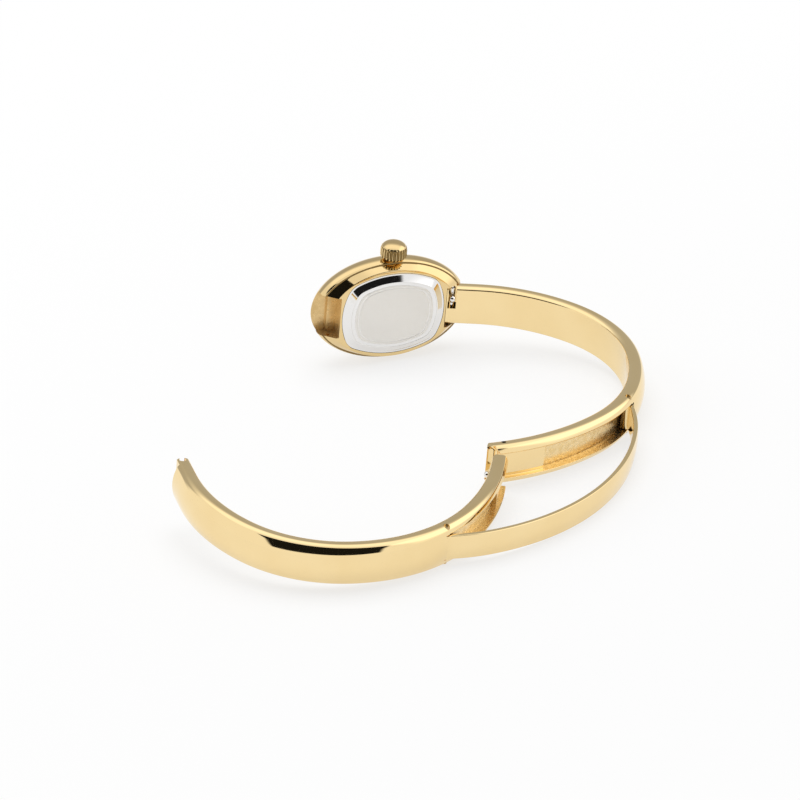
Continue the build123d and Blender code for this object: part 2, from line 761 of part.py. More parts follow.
# Movement: holder, plate, battery, coil motor and wheel train behind the dial
plate_length, plate_width = cavity_length - 2 * holder_wall_x, cavity_width - 2 * holder_wall_y
board_low, board_high = battery_y + battery_radius + board_gap, plate_width / 2 - board_inset
board_width, board_y = board_high - board_low, (board_low + board_high) / 2
screw_spots = (
    (screw_inset_x - plate_length / 2, plate_width / 2 - screw_inset_y),
    (screw_mid_x, screw_inset_y_low - plate_width / 2),
    (plate_length / 2 - screw_right_x, screw_right_y),
)
third_at = polar((0, 0), centre_radius + pinion_radius + mesh_gap, third_bearing)
relay_at = polar(third_at, third_radius + pinion_radius + mesh_gap, relay_bearing)
rotor_at = polar(relay_at, relay_radius + rotor_pinion_radius + mesh_gap, rotor_bearing)
minute_at = polar((0, 0), minute_wheel_radius + cannon_teeth_radius + mesh_gap, minute_bearing)
with BuildPart() as movement_holder:
    with BuildSketch(level(holder_low)):
        cushion(cavity_length - 2 * running_gap, cavity_width - 2 * running_gap)
        cushion(plate_length + 2 * snug_gap, plate_width + 2 * snug_gap, Mode.SUBTRACT)
    extrude(amount=dial_low - holder_low)
    with BuildSketch(crown_plane.offset(stem_in)):
        Circle(stem_radius + free_gap)
    extrude(amount=tube_in - stem_in, mode=Mode.SUBTRACT)
movement_holder.part.label = "movement_holder"
export_step(movement_holder.part, "parts/movement_holder.step")

with BuildPart() as movement_plate:
    with BuildSketch(level(plate_low)):
        cushion(plate_length, plate_width)
        Circle(arbor_radius + running_gap, mode=Mode.SUBTRACT)
    extrude(amount=plate_thick)
    with BuildSketch(level(plate_low)):
        with Locations((battery_x, battery_y)):
            Circle(battery_radius + running_gap)
    extrude(amount=battery_pocket, mode=Mode.SUBTRACT)
    with BuildSketch(level(plate_low)):
        with Locations(third_at, relay_at, rotor_at):
            Circle(arbor_radius + running_gap)
    extrude(amount=pivot_depth, mode=Mode.SUBTRACT)
    with BuildSketch(level(plate_low)):
        with Locations(*screw_spots):
            Circle(screw_radius + snug_gap)
    extrude(amount=screw_length + running_gap, mode=Mode.SUBTRACT)
    with BuildSketch(level(plate_low + plate_thick)):
        with Locations(minute_at):
            Circle(arbor_radius + running_gap)
    extrude(amount=-pivot_depth, mode=Mode.SUBTRACT)
    with BuildSketch(crown_plane.offset(stem_in - free_gap)):
        Circle(stem_radius + free_gap)
    extrude(amount=plate_width, mode=Mode.SUBTRACT)
movement_plate.part.label = "movement_plate"
export_step(movement_plate.part, "parts/movement_plate.step")

with BuildPart() as battery:
    with BuildSketch(level(battery_low)):
        with Locations((battery_x, battery_y)):
            Circle(battery_radius)
    extrude(amount=battery_thick)
    fillet(battery.edges(), battery_round)
battery.part.label = "battery"
export_step(battery.part, "parts/battery.step")

with BuildPart() as battery_clamp:
    with BuildSketch(level(battery_low - snug_gap - clamp_thick)):
        with Locations((battery_x, battery_y)):
            Rectangle(clamp_width, clamp_length)
    extrude(amount=clamp_thick)
    clamp_leg_y = (clamp_length - clamp_leg) / 2
    with BuildSketch(level(battery_low - snug_gap)):
        with Locations((battery_x, battery_y + clamp_leg_y), (battery_x, battery_y - clamp_leg_y)):
            Rectangle(clamp_width, clamp_leg)
    extrude(amount=plate_low - battery_low + snug_gap)
battery_clamp.part.label = "battery_clamp"
export_step(battery_clamp.part, "parts/battery_clamp.step")

with BuildPart() as movement_screws:
    with BuildSketch(level(plate_low - screw_head_thick)):
        with Locations(*screw_spots):
            Circle(screw_head_radius)
            Rectangle(2 * screw_head_radius, screw_slot, mode=Mode.SUBTRACT)
    extrude(amount=screw_head_thick / 2)
    with BuildSketch(level(plate_low - screw_head_thick / 2)):
        with Locations(*screw_spots):
            Circle(screw_head_radius)
    extrude(amount=screw_head_thick / 2)
    with BuildSketch(level(plate_low)):
        with Locations(*screw_spots):
            Circle(screw_radius)
    extrude(amount=screw_length)
movement_screws.part.label = "movement_screws"
export_step(movement_screws.part, "parts/movement_screws.step")

with BuildPart() as centre_wheel:
    with BuildSketch(level(level_high)):
        toothed((0, 0), centre_radius, wheel_teeth)
    extrude(amount=wheel_thick)
    with BuildSketch(level(arbor_low)):
        Circle(arbor_radius)
    extrude(amount=cannon_low + cannon_grip - arbor_low)
centre_wheel.part.label = "centre_wheel"
export_step(centre_wheel.part, "parts/centre_wheel.step")

with BuildPart() as third_wheel:
    with BuildSketch(level(level_mid)):
        toothed(third_at, third_radius, wheel_teeth)
    extrude(amount=wheel_thick)
    with BuildSketch(level(level_high)):
        toothed(third_at, pinion_radius, pinion_teeth)
    extrude(amount=wheel_thick)
    with BuildSketch(level(arbor_low)):
        with Locations(third_at):
            Circle(arbor_radius)
    extrude(amount=plate_low + pivot_depth - running_gap - arbor_low)
third_wheel.part.label = "third_wheel"
export_step(third_wheel.part, "parts/third_wheel.step")

with BuildPart() as relay_wheel:
    with BuildSketch(level(level_low)):
        toothed(relay_at, relay_radius, wheel_teeth)
    extrude(amount=wheel_thick)
    with BuildSketch(level(level_mid)):
        toothed(relay_at, pinion_radius, pinion_teeth)
    extrude(amount=wheel_thick)
    with BuildSketch(level(arbor_low)):
        with Locations(relay_at):
            Circle(arbor_radius)
    extrude(amount=plate_low + pivot_depth - running_gap - arbor_low)
relay_wheel.part.label = "relay_wheel"
export_step(relay_wheel.part, "parts/relay_wheel.step")

with BuildPart() as rotor:
    with BuildSketch(level(level_low)):
        toothed(rotor_at, rotor_pinion_radius, pinion_teeth)
    extrude(amount=wheel_thick)
    with BuildSketch(level(rotor_low)):
        with Locations(rotor_at):
            Circle(rotor_radius)
    extrude(amount=rotor_thick)
    with BuildSketch(level(arbor_low)):
        with Locations(rotor_at):
            Circle(arbor_radius)
    extrude(amount=plate_low + pivot_depth - running_gap - arbor_low)
rotor.part.label = "rotor"
export_step(rotor.part, "parts/rotor.step")

stator_x = rotor_at[0] + stator_shift
stator_foot = rotor_at[1] - coil_drop - coil_radius
with BuildPart() as stator:
    with BuildSketch(level(stator_low)):
        with Locations((stator_x, rotor_at[1])):
            Rectangle(stator_length, stator_width)
        leg_y = (rotor_at[1] + stator_foot) / 2
        leg_reach = (stator_length - stator_leg) / 2
        with Locations((stator_x - leg_reach, leg_y), (stator_x + leg_reach, leg_y)):
            Rectangle(stator_leg, rotor_at[1] - stator_foot)
        with Locations(rotor_at):
            Circle(rotor_radius + running_gap, mode=Mode.SUBTRACT)
    extrude(amount=stator_thick)
stator.part.label = "stator"
export_step(stator.part, "parts/stator.step")

coil_middle = (stator_x, rotor_at[1] - coil_drop, stator_low - coil_core_side / 2)
coil_plane = local_plane(dial_frame, coil_middle, (0, 1, 0), (1, 0, 0))
with BuildPart() as coil:
    with BuildSketch(through(coil_plane, coil_length)):
        Circle(coil_radius)
        Rectangle(coil_core_width + 2 * snug_gap, coil_core_side + 2 * snug_gap, mode=Mode.SUBTRACT)
    extrude(amount=coil_length)
coil.part.label = "coil"
export_step(coil.part, "parts/coil.step")

with BuildPart() as coil_core:
    with BuildSketch(through(coil_plane, stator_length)):
        Rectangle(coil_core_width, coil_core_side)
    extrude(amount=stator_length)
coil_core.part.label = "coil_core"
export_step(coil_core.part, "parts/coil_core.step")

with BuildPart() as circuit_board:
    with BuildSketch(level(plate_low - board_thick)):
        with Locations((board_x, board_y)):
            Rectangle(board_length, board_width)
    extrude(amount=board_thick)
circuit_board.part.label = "circuit_board"
export_step(circuit_board.part, "parts/circuit_board.step")

can_level = plate_low - board_thick - can_radius - snug_gap
can_plane = local_plane(dial_frame, (board_x, board_y - can_shift, can_level), (0, 1, 0), (1, 0, 0))
with BuildPart() as quartz_can:
    with BuildSketch(through(can_plane, can_length)):
        Circle(can_radius)
    extrude(amount=can_length)
quartz_can.part.label = "quartz_can"
export_step(quartz_can.part, "parts/quartz_can.step")

with BuildPart() as chip:
    with BuildSketch(level(plate_low - board_thick - chip_thick)):
        with Locations((board_x, board_y + chip_shift)):
            Rectangle(chip_side, chip_side)
    extrude(amount=chip_thick)
chip.part.label = "chip"
export_step(chip.part, "parts/chip.step")

# Motion works between the plate and the dial
with BuildPart() as cannon_pinion:
    with BuildSketch(level(cannon_low)):
        toothed((0, 0), cannon_teeth_radius, pinion_teeth, cannon_bore)
    extrude(amount=cannon_teeth_thick)
    with BuildSketch(level(cannon_low)):
        Circle(cannon_radius)
        Circle(cannon_bore, mode=Mode.SUBTRACT)
    extrude(amount=hand_arbor_top - cannon_low)
cannon_pinion.part.label = "cannon_pinion"
export_step(cannon_pinion.part, "parts/cannon_pinion.step")

with BuildPart() as minute_wheel:
    with BuildSketch(level(cannon_low)):
        toothed(minute_at, minute_wheel_radius, minute_wheel_teeth)
    extrude(amount=wheel_thick)
    with BuildSketch(level(cannon_low + wheel_thick)):
        toothed(minute_at, minute_pinion_radius, pinion_teeth)
    extrude(amount=minute_pinion_thick)
    with BuildSketch(level(plate_low + plate_thick - pivot_depth + running_gap)):
        with Locations(minute_at):
            Circle(arbor_radius)
    extrude(amount=dial_low - free_gap - (plate_low + plate_thick - pivot_depth + running_gap))
minute_wheel.part.label = "minute_wheel"
export_step(minute_wheel.part, "parts/minute_wheel.step")

with BuildPart() as hour_wheel:
    with BuildSketch(level(hour_wheel_low)):
        toothed((0, 0), hour_wheel_radius, wheel_teeth, cannon_radius + running_gap)
    extrude(amount=wheel_thick)
    with BuildSketch(level(hour_wheel_low)):
        Circle(hour_pipe_radius)
        Circle(cannon_radius + running_gap, mode=Mode.SUBTRACT)
    extrude(amount=hour_pipe_top - hour_wheel_low)
hour_wheel.part.label = "hour_wheel"
export_step(hour_wheel.part, "parts/hour_wheel.step")

# Quick-release bar across the right arm's tip
bar_top = half_width + bar_pin_reach
bar_at = ring.from_local_coords(Vector(bar_point[0], bar_point[1], 0))
bar_frame = Plane(origin=bar_at, x_dir=ring.x_dir, z_dir=ring.z_dir)
knob_low = knob_height - knob_travel
with BuildPart() as bar_tube:
    with BuildSketch(through(bar_frame, bar_tube_length)):
        Circle(bar_radius)
        Circle(bar_pin_radius + running_gap, mode=Mode.SUBTRACT)
    extrude(amount=bar_tube_length)
    inwards = (-sin(radians(ring_turn)), cos(radians(ring_turn)), 0)
    slot_middle = (*bar_point, (knob_height + knob_low) / 2)
    with BuildSketch(local_plane(ring, slot_middle, (0, 0, 1), inwards)):
        slot_width = 2 * (knob_stem_radius + running_gap)
        SlotOverall(knob_travel + slot_width, slot_width)
    extrude(amount=bar_radius + cut_over, mode=Mode.SUBTRACT)
bar_tube.part.label = "bar_tube"
export_step(bar_tube.part, "parts/bar_tube.step")

with BuildPart() as bar_slider:
    with BuildSketch(bar_frame.offset(bar_slider_low)):
        Circle(bar_pin_radius)
    extrude(amount=bar_top - bar_slider_low)
    with BuildSketch(local_plane(ring, (*bar_point, knob_height), (0, 0, 1), inwards)):
        Circle(knob_stem_radius)
    extrude(amount=bar_out + knob_out)
    knob_at = (*ring_point(ring_turn, -knob_out, 1, bar_run), knob_height)
    with Locations(local_plane(ring, knob_at, inwards, (0, 0, 1)).location):
        Sphere(knob_radius)
bar_slider.part.label = "bar_slider"
export_step(bar_slider.part, "parts/bar_slider.step")

with BuildPart() as bar_fixed_pin:
    with BuildSketch(bar_frame.offset(-bar_top)):
        Circle(bar_pin_radius)
    extrude(amount=bar_top - bar_pin_inner)
bar_fixed_pin.part.label = "bar_fixed_pin"
export_step(bar_fixed_pin.part, "parts/bar_fixed_pin.step")

with BuildPart() as bar_spring:
    with BuildLine(bar_frame.offset(spring_wire + free_gap - bar_pin_inner)) as bar_path:
        bar_coil_radius = bar_pin_radius - spring_wire - running_gap
        Helix(bar_spring_length / bar_spring_turns, bar_spring_length, bar_coil_radius)
    bar_wire = bar_path.edges()[0]
    with BuildSketch(Plane(origin=bar_wire @ 0, z_dir=bar_wire % 0)):
        Circle(spring_wire)
    sweep(path=bar_wire, is_frenet=True)
bar_spring.part.label = "bar_spring"
export_step(bar_spring.part, "parts/bar_spring.step")

# Latch bolt, its spring and plug in the left arm's end
latch_at = left_frame.from_local_coords(Vector(latch_point[0], latch_point[1], 0))
latch_frame = Plane(origin=latch_at, x_dir=left_frame.x_dir, z_dir=left_frame.z_dir)
latch_low = latch_top - latch_length
plug_low = plug_recess - half_width
with BuildPart() as latch_bolt:
    with BuildSketch(latch_frame.offset(latch_low)):
        Circle(latch_radius)
    extrude(amount=latch_length)
    latch_inwards = (sin(latch_heading), cos(latch_heading), 0)
    latch_knob_foot = (*latch_point, latch_knob_height)
    with BuildSketch(local_plane(left_frame, latch_knob_foot, (0, 0, 1), latch_inwards)):
        Circle(knob_stem_radius)
    extrude(amount=latch_out + latch_knob_out)
    latch_knob_at = (*ring_point(latch_turn, -latch_knob_out, -1), latch_knob_height)
    with Locations(local_plane(left_frame, latch_knob_at, latch_inwards, (0, 0, 1)).location):
        Sphere(latch_knob_radius)
latch_bolt.part.label = "latch_bolt"
export_step(latch_bolt.part, "parts/latch_bolt.step")

with BuildPart() as latch_plug:
    with BuildSketch(latch_frame.offset(plug_low)):
        Circle(latch_radius + running_gap - snug_gap)
    extrude(amount=latch_plug_length)
latch_plug.part.label = "latch_plug"
export_step(latch_plug.part, "parts/latch_plug.step")

with BuildPart() as latch_spring:
    latch_spring_low = plug_low + latch_plug_length + spring_wire + snug_gap
    with BuildLine(latch_frame.offset(latch_spring_low)) as latch_path:
        latch_coil_radius = latch_radius - spring_wire - running_gap
        Helix(latch_spring_length / latch_spring_turns, latch_spring_length, latch_coil_radius)
    latch_wire = latch_path.edges()[0]
    with BuildSketch(Plane(origin=latch_wire @ 0, z_dir=latch_wire % 0)):
        Circle(spring_wire)
    sweep(path=latch_wire, is_frenet=True)
latch_spring.part.label = "latch_spring"
export_step(latch_spring.part, "parts/latch_spring.step")
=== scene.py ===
"""Looks for the opened bangle watch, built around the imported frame.

Sizes are in millimetres in the closed ring's own coordinates: x to the right lug, y towards the
dial, z towards the crown, with six o'clock at (0, -drop). A Placement turns them into metres.
"""

import json
import logging
from dataclasses import dataclass, field
from enum import Enum
from typing import Sequence

import bmesh
import bpy
import numpy as np
from mathutils import Matrix, Vector

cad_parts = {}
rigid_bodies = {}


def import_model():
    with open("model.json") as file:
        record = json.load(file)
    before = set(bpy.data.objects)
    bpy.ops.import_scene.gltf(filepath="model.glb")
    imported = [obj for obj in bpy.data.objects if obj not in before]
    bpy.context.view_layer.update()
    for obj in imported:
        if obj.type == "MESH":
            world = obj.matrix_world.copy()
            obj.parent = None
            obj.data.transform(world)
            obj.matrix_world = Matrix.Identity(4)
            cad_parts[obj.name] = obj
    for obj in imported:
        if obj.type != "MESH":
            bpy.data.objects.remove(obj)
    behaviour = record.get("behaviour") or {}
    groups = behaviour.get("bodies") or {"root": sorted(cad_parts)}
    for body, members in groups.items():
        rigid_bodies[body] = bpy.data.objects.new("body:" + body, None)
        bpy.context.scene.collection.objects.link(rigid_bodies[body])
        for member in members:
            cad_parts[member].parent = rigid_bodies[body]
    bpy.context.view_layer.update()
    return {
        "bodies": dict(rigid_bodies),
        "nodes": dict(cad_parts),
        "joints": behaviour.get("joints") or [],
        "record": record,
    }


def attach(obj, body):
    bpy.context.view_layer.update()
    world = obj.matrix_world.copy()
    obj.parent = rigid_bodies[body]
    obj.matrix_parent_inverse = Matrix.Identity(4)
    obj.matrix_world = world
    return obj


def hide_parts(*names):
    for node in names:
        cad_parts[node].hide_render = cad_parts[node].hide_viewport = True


log = logging.getLogger("bangle_watch")
MM = 0.001
OVAL_POINTS = 240
BORE_SIDES = 48
ROUND_SIDES = 64
EASE_POINTS = 6
MERGE = 1e-7
KNOB_POINTS = 40
KNOB_FLARE = 1.25
KNOB_SWELL = 1.08
KNOB_NECK = (0.06, 0.02)
KNOB_POLE = 1e-5
Array = np.ndarray
Row = tuple[float, float, float]
Socket = bpy.types.NodeSocket


class Body(str, Enum):
    """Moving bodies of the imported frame."""

    CASE = "case"
    RIGHT_ARM = "right_arm"
    LEFT_ARM = "left_arm"
    LINK = "link"
    KNOB = "bar_slider"
    BOLT = "latch_bolt"
    CROWN = "crown_turner"


@dataclass(frozen=True)
class Placement:
    """A frame: its origin in millimetres and its three axes as rows, both in the shared frame."""

    origin: Array
    axes: Array

    def world(self, points: Array) -> Array:
        """Local millimetres to the shared frame's metres.

        Args:
            points: rows of x, y, z in this frame.

        Returns:
            The same rows in metres, origin plus each coordinate along its axis.
        """
        return (self.origin + np.asarray(points, float) @ self.axes) * MM

    def local(self, points: Array) -> Array:
        """The shared frame's metres back to local millimetres: the world rule undone.

        Args:
            points: rows of x, y, z in metres.

        Returns:
            The same rows in this frame's millimetres.
        """
        return (np.asarray(points, float) / MM - self.origin) @ self.axes.T

    def moved(self, x: float, y: float, z: float) -> "Placement":
        """The same axes at another point of this frame."""
        return Placement(self.origin + np.array((x, y, z)) @ self.axes, self.axes)

    def turned(self, x: float, y: float, degrees: float) -> "Placement":
        """This frame after a turn about its own z axis through a point.

        Args:
            x: first coordinate of the pivot.
            y: second coordinate of the pivot.
            degrees: the turn, by the right-hand rule.

        Returns:
            The turned frame, whose own coordinates of the pivot stay the same.
        """
        a = np.radians(degrees)
        turn = np.array(((np.cos(a), np.sin(a), 0), (-np.sin(a), np.cos(a), 0), (0, 0, 1)))
        axes = turn @ self.axes
        pivot = self.origin + np.array((x, y, 0)) @ self.axes
        return Placement(pivot - np.array((x, y, 0)) @ axes, axes)

    def aimed(self, point: Sequence[float], x_local: Sequence[float],
              z_local: Sequence[float]) -> "Placement":
        """A frame at a point of this one.

        Args:
            point: its origin.
            x_local: direction of its x axis.
            z_local: direction of its z axis.

        Returns:
            The frame, with its y axis square to both.
        """
        x_axis = np.asarray(x_local, float) @ self.axes
        z_axis = np.asarray(z_local, float) @ self.axes
        rows = np.array((x_axis, np.cross(z_axis, x_axis), z_axis))
        return Placement(self.origin + np.asarray(point, float) @ self.axes, rows)


@dataclass(frozen=True)
class RingLine:
    """Inner line of the closed ring, from six o'clock up to a lug: four bends, then a straight run."""

    drop: float = 49.4
    radii: tuple[float, ...] = (40.0, 25.3, 19.6, 27.5)
    turns: tuple[float, ...] = (29.0, 52.5, 48.0, 34.0)
    pin_out: float = 1.8
    right_pin_turn: float = 48.0
    left_pin_turn: float = 45.0
    bar_run: float = 4.1
    bar_out: float = 1.15
    fold: float = 36.0

    @property
    def length(self) -> float:
        """Length of the four bends."""
        return float(self.length_at(sum(self.turns)))

    def bend_ends(self) -> tuple[Array, Array]:
        """Turn in degrees and length along the line at the start and at the end of each bend."""
        arcs = (r * np.radians(t) for r, t in zip(self.radii, self.turns))
        return np.cumsum((0.0, *self.turns)), np.cumsum((0.0, *arcs))

    def length_at(self, turn: float) -> float:
        """Length along the inner line at which it has turned so many degrees."""
        return float(np.interp(turn, *self.bend_ends()))

    def follow(self, along: Array, out: Array, side: int) -> Array:
        """Points beside the inner line.

        Each bend is a circle: its centre is the last one moved by the change of radius along the
        outward direction at the joint, and a point is the centre plus (radius + out) times
        (sin turn, -cos turn). Past the last bend the line runs straight.

        Args:
            along: length along the inner line.
            out: distance outwards from it, of the same shape.
            side: 1 for the right half, -1 for the left.

        Returns:
            An array of one more axis, holding x and y.
        """
        turns, lengths = self.bend_ends()
        turns = np.radians(turns)
        radii = np.array(self.radii)
        change = np.append(0.0, radii[:-1] - radii[1:])
        x = np.cumsum(change * np.sin(turns[:-1]))
        y = radii[0] - self.drop - np.cumsum(change * np.cos(turns[:-1]))
        bend = np.clip(np.searchsorted(lengths, along, side="right") - 1, 0, len(radii) - 1)
        bent = np.minimum(along, lengths[-1])
        run = along - bent
        turn = turns[bend] + (bent - lengths[bend]) / radii[bend]
        reach = radii[bend] + out
        px = x[bend] + reach * np.sin(turn) + run * np.cos(turn)
        py = y[bend] - reach * np.cos(turn) + run * np.sin(turn)
        return np.stack((side * px, py), axis=-1)

    def point(self, turn: float, out: float, side: int = 1, run: float = 0.0) -> tuple[float, float]:
        """One point beside the line.

        Args:
            turn: degrees that the line has turned there.
            out: distance outwards.
            side: 1 for the right half, -1 for the left.
            run: length along the straight run past the last bend, which then stands for the turn.

        Returns:
            Its x and y.
        """
        along = self.length + run if run else self.length_at(turn)
        return tuple(self.follow(np.array(along), np.array(out), side))

    @property
    def right_pin(self) -> tuple[float, float]:
        """Centre of the hinge between the right arm and the link."""
        return self.point(self.right_pin_turn, self.pin_out)

    @property
    def left_pin(self) -> tuple[float, float]:
        """Centre of the hinge between the link and the left arm."""
        return self.point(self.left_pin_turn, self.pin_out, -1)

    @property
    def bar(self) -> tuple[float, float]:
        """Centre of the bar across the right arm's tip."""
        return self.point(0.0, self.bar_out, 1, self.bar_run)

    def placed(self, joints: Sequence[dict]) -> Placement:
        """The ring's frame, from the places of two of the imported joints.

        Args:
            joints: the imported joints, of which the right arm's pivot and the link's fold are read.

        Returns:
            The frame in which the closed ring's coordinates put both joints where they are.
        """
        found = {j["name"]: j for j in joints}
        start = np.array(found["right_arm_pivot"]["pos_m"]) / MM
        stop = np.array(found["link_fold"]["pos_m"]) / MM
        z_axis = np.array(found["link_fold"]["axis"], float)
        z_axis /= np.linalg.norm(z_axis)
        local = np.subtract(self.right_pin, self.bar)
        local /= np.linalg.norm(local)
        ahead = (stop - start) / np.linalg.norm(stop - start)
        aside = np.cross(z_axis, ahead)
        x_axis = local[0] * ahead - local[1] * aside
        y_axis = local[1] * ahead + local[0] * aside
        origin = start - self.bar[0] * x_axis - self.bar[1] * y_axis
        return Placement(origin, np.array((x_axis, y_axis, z_axis)))


def build_mesh(name: str, points: Array, faces: Sequence, groups: Array | None = None) -> bpy.types.Object:
    """Makes an object of a point array and a face list, merged, closed and facing outwards.

    Args:
        name: the piece's name.
        points: rows of x, y, z in metres.
        faces: index rows.
        groups: material number of each face, if there is more than one material.

    Returns:
        The new object, at the origin.
    """
    mesh = bpy.data.meshes.new(name)
    mesh.from_pydata(points.tolist(), [], [tuple(int(i) for i in f) for f in faces])
    if groups is not None:
        for _ in range(int(np.max(groups)) + 1):
            mesh.materials.append(None)
        mesh.polygons.foreach_set("material_index", np.asarray(groups, np.int32))
    tidy = bmesh.new()
    tidy.from_mesh(mesh)
    bmesh.ops.remove_doubles(tidy, verts=tidy.verts, dist=MERGE)
    bmesh.ops.dissolve_degenerate(tidy, edges=tidy.edges, dist=MERGE)
    bmesh.ops.recalc_face_normals(tidy, faces=tidy.faces)
    tidy.to_mesh(mesh)
    tidy.free()
    made = bpy.data.objects.new(name, mesh)
    bpy.context.scene.collection.objects.link(made)
    return made


def loop_faces(rows: int, columns: int) -> Array:
    """Quads of a grid whose columns close on themselves: each row joined to the next.

    Args:
        rows: number of loops.
        columns: points of each loop.

    Returns:
        Four indices a row, loop by loop.
    """
    row, column = np.meshgrid(np.arange(rows - 1), np.arange(columns), indexing="ij")
    after = (column + 1) % columns
    quads = np.stack((row * columns + column, row * columns + after,
                      (row + 1) * columns + after, (row + 1) * columns + column), axis=-1)
    return quads.reshape(-1, 4)


def stacked(name: str, place: Placement, rings: Array, groups: Array | None = None) -> bpy.types.Object:
    """Closed skin through a stack of closed outlines, the first and last of them filled.

    Args:
        name: the piece's name.
        place: frame of the outlines.
        rings: array of rows, columns and x, y, z.
        groups: material number of each quad, row by row, if there is more than one material.

    Returns:
        The object.
    """
    rows, columns = rings.shape[:2]
    faces = [tuple(f) for f in loop_faces(rows, columns)]
    faces.append(tuple(range(columns))[::-1])
    faces.append(tuple((rows - 1) * columns + i for i in range(columns)))
    if groups is not None:
        groups = np.append(groups, (0, 0))
    return build_mesh(name, place.world(rings.reshape(-1, 3)), faces, groups)


def circle(radius: float, count: int = 96) -> Array:
    """Points round a circle: radius times (cos, sin) at even angles."""
    a = np.linspace(0, 2 * np.pi, count, endpoint=False)
    return np.stack((radius * np.cos(a), radius * np.sin(a)), axis=-1)


def oval(half_length: float, half_width: float) -> Array:
    """Points round an ellipse: its half axes times (cos, sin) at even angles."""
    return circle(1.0, OVAL_POINTS) * (half_length, half_width)


def arc(centre: Sequence[float], radius: float | Sequence[float], start: float, stop: float,
        count: int) -> Array:
    """Points along an arc: its centre plus the radius, or two half axes, times (cos, sin)."""
    turn = np.linspace(start, stop, count)
    return np.asarray(centre) + np.stack((np.cos(turn), np.sin(turn)), axis=-1) * radius


def lathe(name: str, place: Placement, profile: Sequence[tuple[float, float]],
          count: int = 96) -> bpy.types.Object:
    """Turned shape: each (radius, height) of the profile carried round the frame's z axis.

    Args:
        name: the piece's name.
        place: frame whose z axis is the axis of the turning.
        profile: radii and heights, from one end to the other.
        count: points of each circle.

    Returns:
        The object.
    """
    shape = np.asarray(profile, float)
    rings = np.zeros((len(shape), count, 3))
    rings[..., :2] = shape[:, :1, None] * circle(1.0, count)[None]
    rings[..., 2] = shape[:, 1:2]
    return stacked(name, place, rings)


def rod(name: str, place: Placement, radius: float, low: float, high: float, ease: float) -> bpy.types.Object:
    """Round rod along the frame's z axis, with its ends eased by quarter circles.

    Args:
        name: the piece's name.
        place: frame of the axis.
        radius: the rod's radius.
        low: height of its foot.
        high: height of its head.
        ease: radius of the easing.

    Returns:
        The object.
    """
    head = arc((radius - ease, high - ease), ease, 0, np.pi / 2, EASE_POINTS)
    foot = np.stack((head[::-1, 0], low + high - head[::-1, 1]), axis=-1)
    return lathe(name, place, np.vstack((foot, head)))


def prism(place: Placement, outline: Array, low: float, high: float) -> bpy.types.Object:
    """Straight prism on a closed outline, used to carve.

    Args:
        place: frame of the outline.
        outline: rows of x, y.
        low: height of one end.
        high: height of the other.

    Returns:
        The object.
    """
    rings = np.zeros((2, len(outline), 3))
    rings[..., :2] = outline
    rings[0, :, 2] = low
    rings[1, :, 2] = high
    return stacked("cutter", place, rings)


def bore(place: Placement, point: Sequence[float], radius: float, low: float, high: float,
         sides: int = BORE_SIDES) -> bpy.types.Object:
    """Round cutter along the frame's z axis, through a point of its plane."""
    return prism(place.moved(*point, 0), circle(radius, sides), low, high)


def block(place: Placement, low: Sequence[float], high: Sequence[float]) -> bpy.types.Object:
    """Box between two corners of a frame, used to carve."""
    outline = np.array(((low[0], low[1]), (high[0], low[1]), (high[0], high[1]), (low[0], high[1])))
    return prism(place, outline, low[2], high[2])


def carve(piece: bpy.types.Object, cutters: Sequence[bpy.types.Object], join: bool = False) -> None:
    """Cuts the cutters out of a piece, or joins them to it, and removes them.

    Args:
        piece: the object that is changed.
        cutters: closed objects.
        join: True to add them instead.
    """
    for cutter in cutters:
        step = piece.modifiers.new("cut", "BOOLEAN")
        step.operation = "UNION" if join else "DIFFERENCE"
        step.solver = "EXACT"
        step.object = cutter
    bpy.context.view_layer.update()
    graph = bpy.context.evaluated_depsgraph_get()
    cut = bpy.data.meshes.new_from_object(piece.evaluated_get(graph))
    piece.modifiers.clear()
    old = piece.data
    piece.data = cut
    bpy.data.meshes.remove(old)
    for cutter in cutters:
        shape = cutter.data
        bpy.data.objects.remove(cutter)
        bpy.data.meshes.remove(shape)


def smooth(piece: bpy.types.Object, angle: float = 32.0) -> None:
    """Shades a piece smooth, with its sharp edges kept.

    Args:
        piece: the object.
        angle: degrees past which an edge stays sharp.
    """
    mesh = piece.data
    mesh.polygons.foreach_set("use_smooth", np.ones(len(mesh.polygons), bool))
    mesh.set_sharp_from_angle(angle=np.radians(angle))


class Wiring:
    """Short way to lay out the nodes and links of one tree."""

    def __init__(self, tree: bpy.types.NodeTree) -> None:
        """Keeps the tree's nodes and links."""
        self.nodes, self.links = tree.nodes, tree.links

    def feed(self, socket: Socket, value: object) -> None:
        """Links an input to a socket, or sets it to a plain value.

        Args:
            socket: the input.
            value: an output of another node, or the value.
        """
        if isinstance(value, bpy.types.NodeSocket):
            self.links.new(value, socket)
        else:
            socket.default_value = value

    def add(self, kind: str, output: str | int, inputs: dict, **settings: str) -> Socket:
        """Makes a node and feeds its inputs.

        Args:
            kind: the node's type, without its common beginning.
            output: name or number of the output that is wanted.
            inputs: sockets or plain values, by the input's name or number.
            settings: the node's other properties, which are set first.

        Returns:
            The output.
        """
        node = self.nodes.new("ShaderNode" + kind)
        for name, value in settings.items():
            setattr(node, name, value)
        for name, value in inputs.items():
            self.feed(node.inputs[name], value)
        return node.outputs[output]

    def sum(self, kind: str, first: Socket, second: Socket | float = 0.0) -> Socket:
        """One sum of two values, such as MULTIPLY or MAXIMUM."""
        return self.add("Math", 0, {0: first, 1: second}, operation=kind)

    def fade(self, value: Socket, start: float, stop: float, low: float = 0.0, high: float = 1.0) -> Socket:
        """Smooth step from low to high while a value goes from start to stop."""
        inputs = {"Value": value, "From Min": start, "From Max": stop, "To Min": low, "To Max": high}
        return self.add("MapRange", "Result", inputs, interpolation_type="SMOOTHSTEP")


